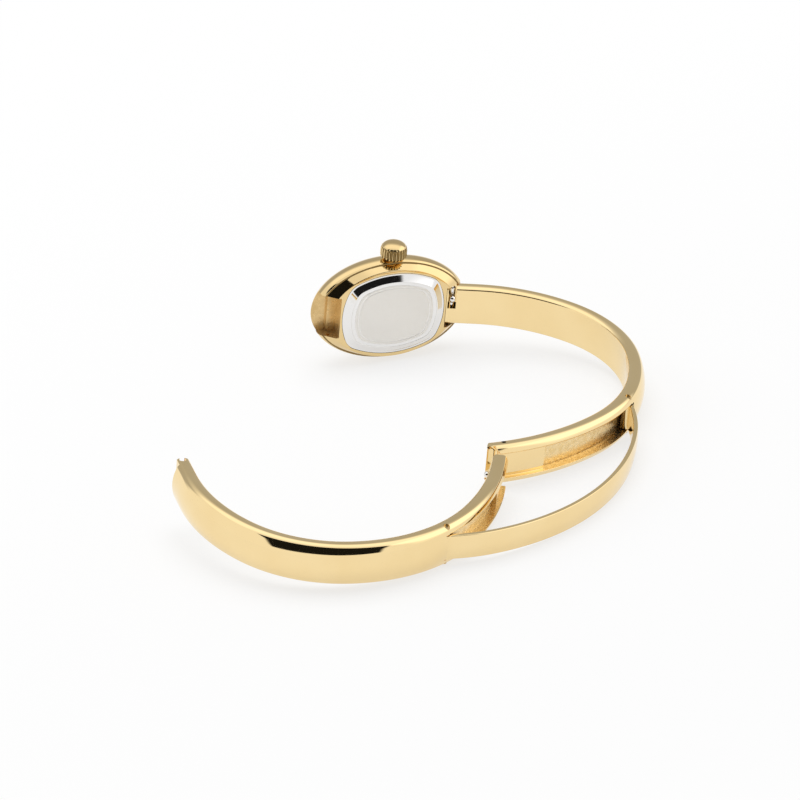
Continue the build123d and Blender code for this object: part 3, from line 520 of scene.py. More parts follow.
@dataclass(frozen=True)
class Finish:
    """A surface finish: a Principled shader with noise on its colour, roughness and relief.

    The colours are linear, the relief is in millimetres, and the pattern scales count per metre. A
    deep colour, where there is one, is painted shade: it takes over near a point, both given in metres.
    """

    name: str
    colour: tuple[float, float, float]
    second: tuple[float, float, float]
    metallic: float = 1.0
    roughness: float = 0.08
    spread: float = 0.03
    relief: float = 0.0
    relief_scale: float = 4000.0
    relief_detail: float = 5.0
    relief_range: tuple[float, float] = (0.3, 0.7)
    tint_scale: float = 90.0
    tint_detail: float = 3.0
    tint_range: tuple[float, float] = (0.35, 0.65)
    stretch: tuple[float, float, float] = (1.0, 1.0, 1.0)
    coat: float = 0.0
    transmission: float = 0.0
    ior: float = 1.5
    # deep: colour of painted shade, laid over the finish near a point
    deep: tuple[float, float, float] | None = None
    painted_shade_at: tuple[float, float, float] = (0.0, 0.0, 0.0)
    painted_shade_near: float = 0.001
    painted_shade_far: float = 0.006

    def material(self) -> bpy.types.Material:
        """Builds the material.

        Returns:
            The node material, patterned on Object coordinates.
        """
        made = bpy.data.materials.new(self.name)
        made.use_nodes = True
        wiring = Wiring(made.node_tree)
        shader = wiring.nodes["Principled BSDF"].inputs
        shader["Metallic"].default_value = self.metallic
        shader["IOR"].default_value = self.ior
        shader["Coat Weight"].default_value = self.coat
        shader["Transmission Weight"].default_value = self.transmission
        where = wiring.add("TexCoord", "Object", {})
        laid = wiring.add("Mapping", "Vector", {"Vector": where, "Scale": self.stretch})
        tint = wiring.add("TexNoise", "Fac", {"Vector": laid, "Scale": self.tint_scale,
                                              "Detail": self.tint_detail})
        wiring.feed(shader["Base Color"], self._colour(wiring, tint, where))
        grain = wiring.add("TexNoise", "Fac", {"Vector": laid, "Scale": self.relief_scale,
                                               "Detail": self.relief_detail})
        low, high = self.relief_range
        wiring.feed(shader["Roughness"], wiring.add("MapRange", "Result", {
            "Value": grain, "From Min": low, "From Max": high,
            "To Min": max(self.roughness - self.spread, 0.0), "To Max": self.roughness + self.spread}))
        if self.relief:
            wiring.feed(shader["Normal"], wiring.add("Bump", "Normal", {
                "Strength": 1.0, "Distance": self.relief * MM, "Height": grain}))
        return made

    def _colour(self, wiring: Wiring, tint: Socket, where: Socket) -> Socket:
        """The two colours mixed by the tint, with the deep one laid over them near its point as painted shade.

        Args:
            wiring: the material's node tree.
            tint: the noise that mixes the two colours.
            where: Object coordinates.

        Returns:
            The colour.
        """
        ramp = wiring.nodes.new("ShaderNodeValToRGB")
        wiring.feed(ramp.inputs["Fac"], tint)
        for stop, at, colour in zip(ramp.color_ramp.elements, self.tint_range, (self.colour, self.second)):
            stop.position = at
            stop.color = (*colour, 1)
        if not self.deep:
            return ramp.outputs["Color"]
        # painted shade: the deep colour takes over near its point
        away = wiring.add("VectorMath", "Value", {0: where, 1: self.painted_shade_at}, operation="DISTANCE")
        inputs = {"Factor": wiring.fade(away, self.painted_shade_near, self.painted_shade_far),
                  "A": (*self.deep, 1), "B": ramp.outputs["Color"]}
        return wiring.add("Mix", "Result", inputs, data_type="RGBA")


class Finishes:
    """Every finish of the watch, made once and shared."""

    def __init__(self) -> None:
        """Builds the materials."""
        self.gold = Finish(
            "polished_gold", (0.93, 0.73, 0.40), (0.90, 0.69, 0.36), roughness=0.05, spread=0.02,
            relief=0.0005, relief_scale=900.0).material()
        # a darker copy of the polished gold: painted shade on the case middle and the crown
        self.shaded_case_gold = Finish(
            "shaded_case_gold", (0.82, 0.62, 0.32), (0.79, 0.59, 0.29), roughness=0.06, spread=0.02,
            relief=0.0005, relief_scale=900.0).material()
        self.recess_gold = Finish(
            "recess_gold", (0.82, 0.60, 0.30), (0.70, 0.49, 0.22), metallic=0.85, roughness=0.32,
            spread=0.08, relief=0.003, relief_scale=2600.0, tint_scale=300.0).material()
        # dark gold as painted shade in the crown's flutes and the case's groove
        self.painted_shade_gold = Finish("painted_shade_gold", (0.30, 0.20, 0.08), (0.24, 0.16, 0.06),
                                 roughness=0.3).material()
        self.steel = Finish("polished_steel", (0.86, 0.85, 0.83), (0.80, 0.79, 0.78), roughness=0.06,
                            relief=0.0004).material()
        self.brushed = Finish(
            "satin_steel", (0.60, 0.58, 0.54), (0.56, 0.54, 0.50), metallic=0.6, roughness=0.5,
            spread=0.08, relief=0.004, relief_scale=2600.0).material()
        self.back_face = Finish(
            "caseback_satin", (0.90, 0.88, 0.84), (0.87, 0.85, 0.81), metallic=0.6, roughness=0.5,
            spread=0.08, relief=0.004, relief_scale=2600.0).material()
        self.wire = Finish("spring_wire", (0.55, 0.55, 0.57), (0.45, 0.45, 0.48),
                           roughness=0.25).material()
        self.brass = Finish("movement_brass", (0.80, 0.60, 0.30), (0.70, 0.50, 0.24), roughness=0.24,
                            relief=0.002).material()
        self.copper = Finish(
            "coil_copper", (0.72, 0.34, 0.18), (0.60, 0.25, 0.12), roughness=0.3, relief=0.02,
            relief_scale=2000.0, stretch=(8.0, 1.0, 1.0)).material()
        self.board = Finish("board_green", (0.02, 0.16, 0.07), (0.03, 0.22, 0.10), metallic=0.0,
                            roughness=0.4, coat=0.4).material()
        self.plastic = Finish("holder_plastic", (0.78, 0.77, 0.74), (0.72, 0.71, 0.68), metallic=0.0,
                              roughness=0.5, relief=0.004).material()
        self.black = Finish("chip_black", (0.02, 0.02, 0.02), (0.03, 0.03, 0.03), metallic=0.0,
                            roughness=0.5, relief=0.004).material()
        self.rubber = Finish("seal_rubber", (0.015, 0.015, 0.015), (0.03, 0.03, 0.03), metallic=0.0,
                             roughness=0.65, relief=0.006).material()
        self.lacquer = Finish("dial_lacquer", (0.90, 0.85, 0.74), (0.87, 0.81, 0.69), metallic=0.0,
                              roughness=0.35, relief=0.001, coat=0.6).material()
        self.magnet = Finish("rotor_magnet", (0.22, 0.21, 0.21), (0.16, 0.15, 0.15), roughness=0.4,
                             relief=0.003).material()
        self.glass = Finish("crystal_glass", (1.0, 1.0, 1.0), (0.98, 0.99, 1.0), metallic=0.0,
                            roughness=0.0, spread=0.0, transmission=1.0, ior=1.52).material()


def cast_gold_and_hinge_shade(name: str, dark_at: Array) -> bpy.types.Material:
    """Grainy cast gold of a channel, with painted shade, nearly black, where the link's knuckle comes out of
    it.

    Args:
        name: the material's name.
        dark_at: the hinge's centre in metres, round which the shade is painted.

    Returns:
        The material.
    """
    # the grain and tint are the cast finish; the deep colour is painted shade round the hinge
    return Finish(name, (0.97, 0.77, 0.44), (0.88, 0.66, 0.32), metallic=0.9, roughness=0.30, spread=0.1,
                  relief=0.006, relief_scale=2200.0, tint_scale=1400.0, deep=(0.10, 0.06, 0.03),
                  painted_shade_at=tuple(float(v) for v in dark_at), painted_shade_far=0.005).material()


def dress(piece: bpy.types.Object, body: Body, finishes: Sequence[bpy.types.Material],
          replaced: Sequence[str] = ()) -> None:
    """Gives a piece its finishes, body and the frame nodes that it stands for.

    Clearing the old materials sets every face back to the first one, so each face's number is put
    back afterwards.

    Args:
        piece: the object.
        body: the moving body that it rides on.
        finishes: its materials, in the order of the faces' numbers.
        replaced: the frame nodes that it hides.
    """
    kept = np.empty(len(piece.data.polygons), np.int32)
    piece.data.polygons.foreach_get("material_index", kept)
    piece.data.materials.clear()
    for finish in finishes:
        piece.data.materials.append(finish)
    piece.data.polygons.foreach_set("material_index", np.minimum(kept, len(finishes) - 1).astype(np.int32))
    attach(piece, body.value)
    if replaced:
        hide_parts(*replaced)
    log.info("%s: %d faces on %s", piece.name, len(piece.data.polygons), body.value)


@dataclass
class ArmSection:
    """Cross-section of an arm: flat inside, beaded edges, a low dome outside, perhaps a channel.

    The walls of the channel go down by shares of its depth, and at their foot by pairs: a share of
    the draft and a share of the depth.
    """

    width: float = 7.2
    thick: float = 3.0
    side: float = 2.0
    inner_round: float = 0.55
    inner_reach: float = 1.3
    outer_round: float = 1.1
    channel: float = 4.6
    rim_round: float = 0.12
    rim_start: float = 20.0
    draft: float = 0.1
    wall_steps: tuple[float, ...] = (0.15, 0.5, 0.85)
    foot_steps: tuple[tuple[float, float], ...] = ((0.1, 0.95), (0.4, 0.99), (1.0, 1.0))
    flat_points: int = 7
    inner_points: int = 16
    outer_points: int = 14
    dome_points: int = 8
    rim_points: int = 5

    @property
    def dome(self) -> float:
        """Radius of the circle through the side heights and the crown."""
        rise = self.thick - self.side
        return ((self.width / 2) ** 2 + rise ** 2) / (2 * rise)

    def level(self, across: Array) -> Array:
        """Height of the dome so far from the middle."""
        return self.thick - self.dome + np.sqrt(self.dome ** 2 - across ** 2)

    def skin(self) -> tuple[Array, Array]:
        """Half of the section, from its middle inside to the channel.

        The inner edge is a quarter ellipse, so that the whole edge is a bead. The dome is rounded
        into the sides by a smaller circle, and into the channel by a still smaller one.

        Returns:
            Rows of (out, across) up to the rim, and those of the rounded rim.
        """
        half, wall, dome = self.width / 2, self.channel / 2, self.dome
        centre = self.thick - dome
        corner_z = half - self.outer_round
        corner_x = centre + np.sqrt((dome - self.outer_round) ** 2 - corner_z ** 2)
        lean = np.arctan2(corner_z, corner_x - centre)
        edge = np.arcsin((wall + self.rim_round) / dome)
        reach = np.linspace(0.0, half - self.inner_round, self.flat_points)[1:-1]
        inner = arc((self.inner_reach, half - self.inner_round), (self.inner_reach, self.inner_round),
                    np.pi, np.pi / 2, self.inner_points)
        outer = arc((corner_x, corner_z), self.outer_round, np.pi / 2, lean, self.outer_points)
        top = arc((centre, 0.0), dome, lean, edge, self.dome_points)[1:]
        rim = arc((top[-1, 0] - self.rim_round, wall + self.rim_round), (self.rim_round, -self.rim_round),
                  np.radians(self.rim_start), np.pi / 2, self.rim_points)
        flat = np.stack((np.zeros(len(reach)), reach), axis=-1)
        return np.vstack((flat, inner, outer, top)), rim

    def outline(self, floor: Array, depth: Array) -> tuple[Array, Array]:
        """Section loops for many stations at once.

        Inside the channel's width each point is moved straight down from the dome to the floor, by
        its own share times the station's.

        Args:
            floor: floor height of the channel at each station.
            depth: 1 where there is a channel, 0 where there is none.

        Returns:
            Loops as stations by points by (out, across), and which points lie in the channel.
        """
        skin, rim = self.skin()
        wall = self.channel / 2
        inset, sunk = np.array(self.foot_steps).T
        across = np.concatenate((np.full(len(self.wall_steps), wall), wall - self.draft * inset,
                                 np.linspace(wall - self.draft, 0.0, self.flat_points)[1:]))
        drop = np.concatenate((self.wall_steps, sunk, np.ones(self.flat_points - 1)))
        level, floor, depth = self.level(across), np.asarray(floor)[:, None], np.asarray(depth)[:, None]
        bed = level + drop * (floor - level) * depth
        rim_x = np.where(depth > 0.5, rim[:, 0], self.level(rim[:, 1]))
        half_loop = np.concatenate((
            np.broadcast_to(skin, (len(bed), *skin.shape)),
            np.stack((rim_x, np.broadcast_to(rim[:, 1], rim_x.shape)), axis=-1),
            np.stack((bed, np.broadcast_to(across, bed.shape)), axis=-1)), axis=1)
        other = half_loop[:, ::-1][:, 1:] * (1, -1)
        loops = np.concatenate((np.zeros((len(bed), 1, 2)), half_loop, other), axis=1)
        inside = np.zeros(loops.shape[1], bool)
        first = 1 + len(skin) + len(rim)
        inside[first:first + 2 * len(across) - 1] = True
        return loops, inside


@dataclass
class Arm:
    """One rigid arm of the bangle, swept along its half of the ring line.

    It starts at a turn near six o'clock, with a rounded nose, and ends a run past the last bend.
    """

    name: str
    side: int
    start: float
    run: float
    pin_turn: float
    nose: float
    body: Body
    ring: RingLine = field(default_factory=RingLine)
    section: ArmSection = field(default_factory=ArmSection)
    floor: float = 1.0
    end_floor: float = 1.75
    end_floor_turn: float = 13.0
    tip_step: float = 1.6
    tip_thick: float = 2.0
    pocket: float = 1.1
    pin_hole: float = 0.52
    bar_hole: float = 0.57
    relief: float = 1.1
    relief_back: float = 1.0
    overrun: float = 1.0
    end_corner: float = 0.9
    end_over: float = 0.0
    bead_reach: float = 0.0
    bead_width: float = 1.3
    catch_turn: float = 2.9
    catch_out: float = 0.8
    catch_hole: float = 0.4
    nose_start: float = 0.02
    nose_stations: int = 14
    station_step: float = 0.45
    step_gap: float = 0.005
    thinnest: float = 0.001

    @property
    def span(self) -> tuple[float, float]:
        """Where the arm starts and ends along the inner line."""
        return self.ring.length_at(self.start) - self.end_over, self.ring.length + self.run

    @property
    def channel_steps(self) -> tuple[float, float]:
        """Where the channel's floor steps down and where the channel ends."""
        return self.ring.length_at(self.end_floor_turn), self.ring.length_at(self.pin_turn)

    def stations(self) -> Array:
        """Lengths along the line for the sections.

        Returns:
            Even steps, with closer ones at the rounded nose and a pair at each step in height.
        """
        first, last = self.span
        gap = self.step_gap
        ease = self.nose * (1 - np.cos(np.linspace(self.nose_start, np.pi / 2, self.nose_stations)))
        body = np.arange(first + self.nose + self.station_step, last, self.station_step)
        doubled = [m + s for m in (*self.channel_steps, last - self.tip_step) for s in (-gap, gap)]
        return np.unique(np.concatenate((first + ease, body, doubled, (first + self.nose + gap, last))))

    def build(self, place: Placement, finishes: Finishes) -> bpy.types.Object:
        """Sweeps the section, trims both ends and cuts the pocket and holes.

        Args:
            place: the arm's frame in the opened watch.
            finishes: the shared finishes.

        Returns:
            The arm's object.
        """
        along = self.stations()
        first, last = self.span
        step, stop = self.channel_steps
        floor = np.where(along < step, self.end_floor, self.floor)
        loops, inside = self.section.outline(floor, np.where(along < stop, 1.0, 0.0))
        ahead = along - first
        top = self._nose_top(ahead)
        top = np.where(along > last - self.tip_step, np.minimum(top, self.tip_thick), top)
        out = np.clip(loops[..., 0], self._nose_rise(ahead)[:, None], top[:, None])
        spread = along[:, None] + self._end_back(ahead, loops[..., 1])
        half = self._end_half(ahead)[:, None]
        across = np.clip(loops[..., 1], -half, half)[..., None]
        points = np.concatenate((self.ring.follow(spread, out, self.side), across), axis=-1)
        grain_from = step if self.side > 0 else first
        grainy = (along[:-1] > grain_from - self.thinnest) & (along[:-1] < stop - self.thinnest)
        in_channel = inside[None] & grainy[:, None]
        piece = stacked(self.name + "_shell", place, points, in_channel.astype(int).ravel())
        carve(piece, self._cutters(place))
        smooth(piece)
        pin = self.ring.point(self.pin_turn, self.ring.pin_out, self.side)
        # the channel's finish: cast grain, with painted shade near the hinge pin
        grain = cast_gold_and_hinge_shade(self.name + "_channel", place.world(np.array(((*pin, 0.0),)))[0])
        dress(piece, self.body, (finishes.gold, grain), (self.name,))
        return piece

    def _nose_rise(self, ahead: Array) -> Array:
        """Lower limit near the end: a quarter circle of the nose radius, then nothing."""
        gone = np.clip(self.nose - ahead, 0, self.nose)
        return self.nose - np.sqrt(self.nose ** 2 - gone ** 2)

    def _nose_top(self, ahead: Array) -> Array:
        """Upper limit near the end.

        Args:
            ahead: lengths from the end.

        Returns:
            The end's height less the same quarter circle, then no limit.
        """
        height = self.end_floor if self.side > 0 else self.section.thick
        rise = self._nose_rise(ahead)
        return np.where(ahead < self.nose, np.maximum(height - rise, rise + self.thinnest), np.inf)

    def _end_back(self, ahead: Array, across: Array) -> Array:
        """How far each point is set back, so that the bead tips stand out from the flat.

        Args:
            ahead: lengths from the end.
            across: places across the arm, a row for each length.

        Returns:
            A smooth step over the bead's width, fading to nothing past the nose.
        """
        inside = np.clip((self.section.width / 2 - np.abs(across)) / self.bead_width, 0, 1)
        fade = np.clip(1 - ahead / (self.nose + self.bead_width), 0, 1)
        return self.bead_reach * inside ** 2 * (3 - 2 * inside) * fade[:, None]

    def _end_half(self, ahead: Array) -> Array:
        """Half width near the end: a quarter circle at the corner, then the full width."""
        gone = np.clip(self.end_corner - ahead, 0, self.end_corner)
        return self.section.width / 2 - self.end_corner + np.sqrt(self.end_corner ** 2 - gone ** 2)

    def _cutters(self, place: Placement) -> list[bpy.types.Object]:
        """What is cut out of the arm.

        Args:
            place: the arm's frame.

        Returns:
            Hinge pocket, fold relief, pin hole, bar hole and, on the right arm, the catch hole.
        """
        ring, side = self.ring, self.side
        pin = ring.point(self.pin_turn, ring.pin_out, side)
        bar = ring.point(0.0, ring.bar_out, side, ring.bar_run)
        half, wall = self.section.width / 2 + self.overrun, self.section.channel / 2
        back, front = self.pin_turn - self.relief_back, self.pin_turn + self.relief
        low, high = ring.pin_out, self.section.thick + self.overrun
        corners = ((back, low), (front, low), (front, high), (back, high))
        relief = np.array([ring.point(turn, out, side) for turn, out in corners])
        cutters = [
            bore(place, pin, self.pocket, -wall, wall, ROUND_SIDES),
            prism(place, relief, -wall, wall),
            bore(place, pin, self.pin_hole, -half, half),
            bore(place, bar, self.bar_hole, -half, half),
        ]
        if side > 0:
            catch = ring.point(self.catch_turn, self.catch_out)
            cutters.append(bore(place, catch, self.catch_hole, -half, half))
        return cutters


@dataclass
class QuickRelease:
    """Silver spring bar across the right arm's tip, with a ball knob in a window."""

    ring: RingLine = field(default_factory=RingLine)
    tube: float = 0.55
    half_tube: float = 3.1
    tube_ease: float = 0.08
    half_bore: float = 4.0
    pin: float = 0.30
    pin_ease: float = 0.06
    clearance: float = 0.05
    reach: float = 4.15
    fixed_stop: float = -1.6
    slide_low: float = 0.9
    knob: float = 0.6
    knob_out: float = 0.05
    knob_height: float = 1.5
    stem: float = 0.2
    slot_back: float = 0.45
    slot_half: tuple[float, float] = (0.7, 0.25)
    slot_deep: float = 1.5
    window: float = 1.4
    window_floor: float = 0.45
    window_high: float = 4.6
    overrun: float = 1.0

    def directions(self) -> tuple[Array, Array]:
        """Along the arm's straight run, and outwards from its inner face."""
        turn = np.radians(sum(self.ring.turns))
        return np.array((np.cos(turn), np.sin(turn), 0)), np.array((np.sin(turn), -np.cos(turn), 0))

    def open_window(self, arm: bpy.types.Object, place: Placement) -> None:
        """Cuts the knob's window into the right arm's inner face.

        Args:
            arm: the right arm's object.
            place: its frame.
        """
        along, out = self.directions()
        foot = (*self.ring.point(0.0, 0.0, 1, self.ring.bar_run), 0)
        low = (-self.window / 2, -self.window_floor, -self.overrun)
        high = (self.window / 2, self.window_high, self.ring.bar_out)
        carve(arm, [block(place.aimed(foot, along, out), low, high)])
        smooth(arm)

    def build(self, place: Placement, finishes: Finishes) -> None:
        """Builds the tube, the fixed pin's end and the sliding pin with its knob.

        Args:
            place: the right arm's frame.
            finishes: the shared finishes.
        """
        bar, (_, out) = self.ring.bar, self.directions()
        axis = place.moved(*bar, 0)
        tube = rod("bar_tube_shell", axis, self.tube, -self.half_tube, self.half_tube, self.tube_ease)
        inner = bore(place, bar, self.pin + self.clearance, -self.half_bore, self.half_bore)
        slot = place.aimed((*bar, self.knob_height - self.slot_back), (0, 0, 1), -out)
        half, wide = self.slot_half
        carve(tube, [inner, block(slot, (-half, -wide, 0), (half, wide, self.slot_deep))])
        fixed = rod("bar_fixed_pin_shell", axis, self.pin, -self.reach, self.fixed_stop, self.pin_ease)
        slider = rod("bar_knob", axis, self.pin, self.slide_low, self.reach, self.pin_ease)
        at = place.aimed((*bar, self.knob_height), (0, 0, 1), -out)
        knob = knob_shape(at, self.stem, self.ring.bar_out + self.knob_out, self.knob)
        carve(slider, [knob], join=True)
        for piece, body, node in ((tube, Body.RIGHT_ARM, "bar_tube"),
                                  (fixed, Body.RIGHT_ARM, "bar_fixed_pin"),
                                  (slider, Body.KNOB, "bar_slider")):
            smooth(piece)
            dress(piece, body, (finishes.steel,), (node,))


def knob_shape(place: Placement, stem: float, centre: float, radius: float) -> bpy.types.Object:
    """Ball on a stem along the frame's z axis, with a small flare where they meet.

    The profile runs up the stem, out along the flare and round the ball, which starts where it is
    a quarter wider than the stem.

    Args:
        place: frame of the knob's foot.
        stem: the stem's radius.
        centre: height of the ball's centre.
        radius: the ball's radius.

    Returns:
        The object.
    """
    start = np.arcsin(stem * KNOB_FLARE / radius)
    ball = arc((0.0, centre), radius, start - np.pi / 2, np.pi / 2, KNOB_POINTS)
    low, high = ball[0, 1] - KNOB_NECK[0], ball[0, 1] - KNOB_NECK[1]
    foot = np.array(((KNOB_POLE, 0.0), (stem, 0.0), (stem, low), (stem * KNOB_SWELL, high)))
    profile = np.vstack((foot, ball, (KNOB_POLE, centre + radius)))
    return lathe("cutter", place, profile, ROUND_SIDES)


@dataclass
class Latch:
    """Spring bolt in the left arm's end, with a ball knob at mid-width."""

    ring: RingLine = field(default_factory=RingLine)
    turn: float = 6.9
    out: float = 1.0
    bolt: float = 0.45
    bolt_ease: float = 0.08
    clearance: float = 0.05
    top: float = 3.0
    bottom: float = -1.0
    bore_foot: float = -4.6
    bore_over: float = 0.15
    stem: float = 0.2
    knob: float = 0.5
    knob_out: float = 0.6
    knob_height: float = 0.45
    slot_half: float = 0.35
    slot_reach: float = 1.7
    overrun: float = 1.0
    plug_over: float = 0.03
    plug: tuple[float, float] = (-3.5, -2.9)
    plug_ease: float = 0.05

    @property
    def centre(self) -> tuple[float, float]:
        """The bolt's axis in the left arm's plane."""
        return self.ring.point(self.turn, self.out, -1)

    def open_arm(self, arm: bpy.types.Object, place: Placement) -> None:
        """Cuts the bolt's bore and the knob's slot into the left arm's end.

        Args:
            arm: the left arm's object.
            place: the left arm's frame.
        """
        heading = np.radians(self.turn)
        along = np.array((-np.cos(heading), np.sin(heading), 0))
        outwards = np.array((-np.sin(heading), -np.cos(heading), 0))
        frame = place.aimed((*self.ring.point(self.turn, 0.0, -1), 0), along, outwards)
        lift = self.slot_reach - self.slot_half
        outline = np.vstack((arc((0, lift), self.slot_half, 0, np.pi, BORE_SIDES // 2),
                             arc((0, -lift), self.slot_half, np.pi, 2 * np.pi, BORE_SIDES // 2)))
        inner = bore(place, self.centre, self.bolt + self.clearance, self.bore_foot, self.top + self.bore_over)
        carve(arm, [inner, prism(frame, outline, -self.overrun, self.out)])
        smooth(arm)

    def build(self, place: Placement, finishes: Finishes) -> None:
        """Builds the bolt with its knob, and the plug below its spring.

        Args:
            place: the left arm's frame.
            finishes: the shared finishes.
        """
        heading = np.radians(self.turn)
        axis = place.moved(*self.centre, 0)
        bolt = rod("latch_knob", axis, self.bolt, self.bottom, self.top, self.bolt_ease)
        at = place.aimed((*self.centre, self.knob_height), (0, 0, 1), (np.sin(heading), np.cos(heading), 0))
        carve(bolt, [knob_shape(at, self.stem, self.out + self.knob_out, self.knob)], join=True)
        smooth(bolt)
        dress(bolt, Body.BOLT, (finishes.steel,), ("latch_bolt",))
        plug = rod("latch_plug_shell", axis, self.bolt + self.plug_over, *self.plug, self.plug_ease)
        smooth(plug)
        dress(plug, Body.LEFT_ARM, (finishes.steel,), ("latch_plug",))


@dataclass
class FoldingLink:
    """Thin strip that joins both arms outside the ring and beds in their channels when closed."""

    ring: RingLine = field(default_factory=RingLine)
    width: float = 4.3
    seat: float = 1.95
    edge: float = 0.7
    crown: float = 0.2
    ease: float = 0.12
    knuckle: float = 1.03
    bore: float = 0.55
    half_bore: float = 3.0
    stations: tuple[int, int] = (90, 86)
    knuckle_sides: int = 72
    flat_points: int = 9
    ease_points: int = 5

    def section(self) -> Array:
        """Loop of the strip's section: flat inside, eased corners and a low crowned outside.

        Returns:
            Rows of (out, across).
        """
        half, top, ease = self.width / 2, self.seat + self.edge, self.ease
        high = arc((top - ease, half - ease), ease, np.pi / 2, 0, self.ease_points)
        low = arc((self.seat + ease, half - ease), ease, np.pi, np.pi / 2, self.ease_points)
        reach = np.linspace(0, half - ease, self.flat_points)
        across = reach[::-1][1:]
        crest = np.stack((top + self.crown * (1 - (across / (half - ease)) ** 2), across), axis=-1)
        flat = np.stack((np.full(len(reach) - 1, self.seat), reach[:-1]), axis=-1)
        upper = np.vstack((flat, low, high, crest))
        return np.vstack((upper, upper[::-1][1:-1] * (1, -1)))

    def build(self, place: Placement, finishes: Finishes) -> None:
        """Sweeps the strip from pin to pin and joins its two knuckles.

        Args:
            place: the link's frame.
            finishes: the shared finishes.
        """
        ring, loop, halves = self.ring, self.section(), []
        turns = (ring.right_pin_turn, ring.left_pin_turn)
        for side, turn, count in zip((1, -1), turns, self.stations):
            lengths = np.linspace(0, ring.length_at(turn), count)[:, None]
            spread = np.broadcast_to(lengths, (count, len(loop)))
            out, across = (np.broadcast_to(loop[:, i], spread.shape) for i in (0, 1))
            halves.append(np.concatenate((ring.follow(spread, out, side), across[..., None]), axis=-1))
        piece = stacked("folding_link_strip", place, np.concatenate((halves[1][::-1], halves[0][1:])))
        half, pins = self.width / 2, (ring.right_pin, ring.left_pin)
        knuckles = [bore(place, pin, self.knuckle, -half, half, self.knuckle_sides) for pin in pins]
        carve(piece, knuckles, join=True)
        carve(piece, [bore(place, pin, self.bore, -self.half_bore, self.half_bore) for pin in pins])
        smooth(piece)
        dress(piece, Body.LINK, (finishes.gold,), ("folding_link",))


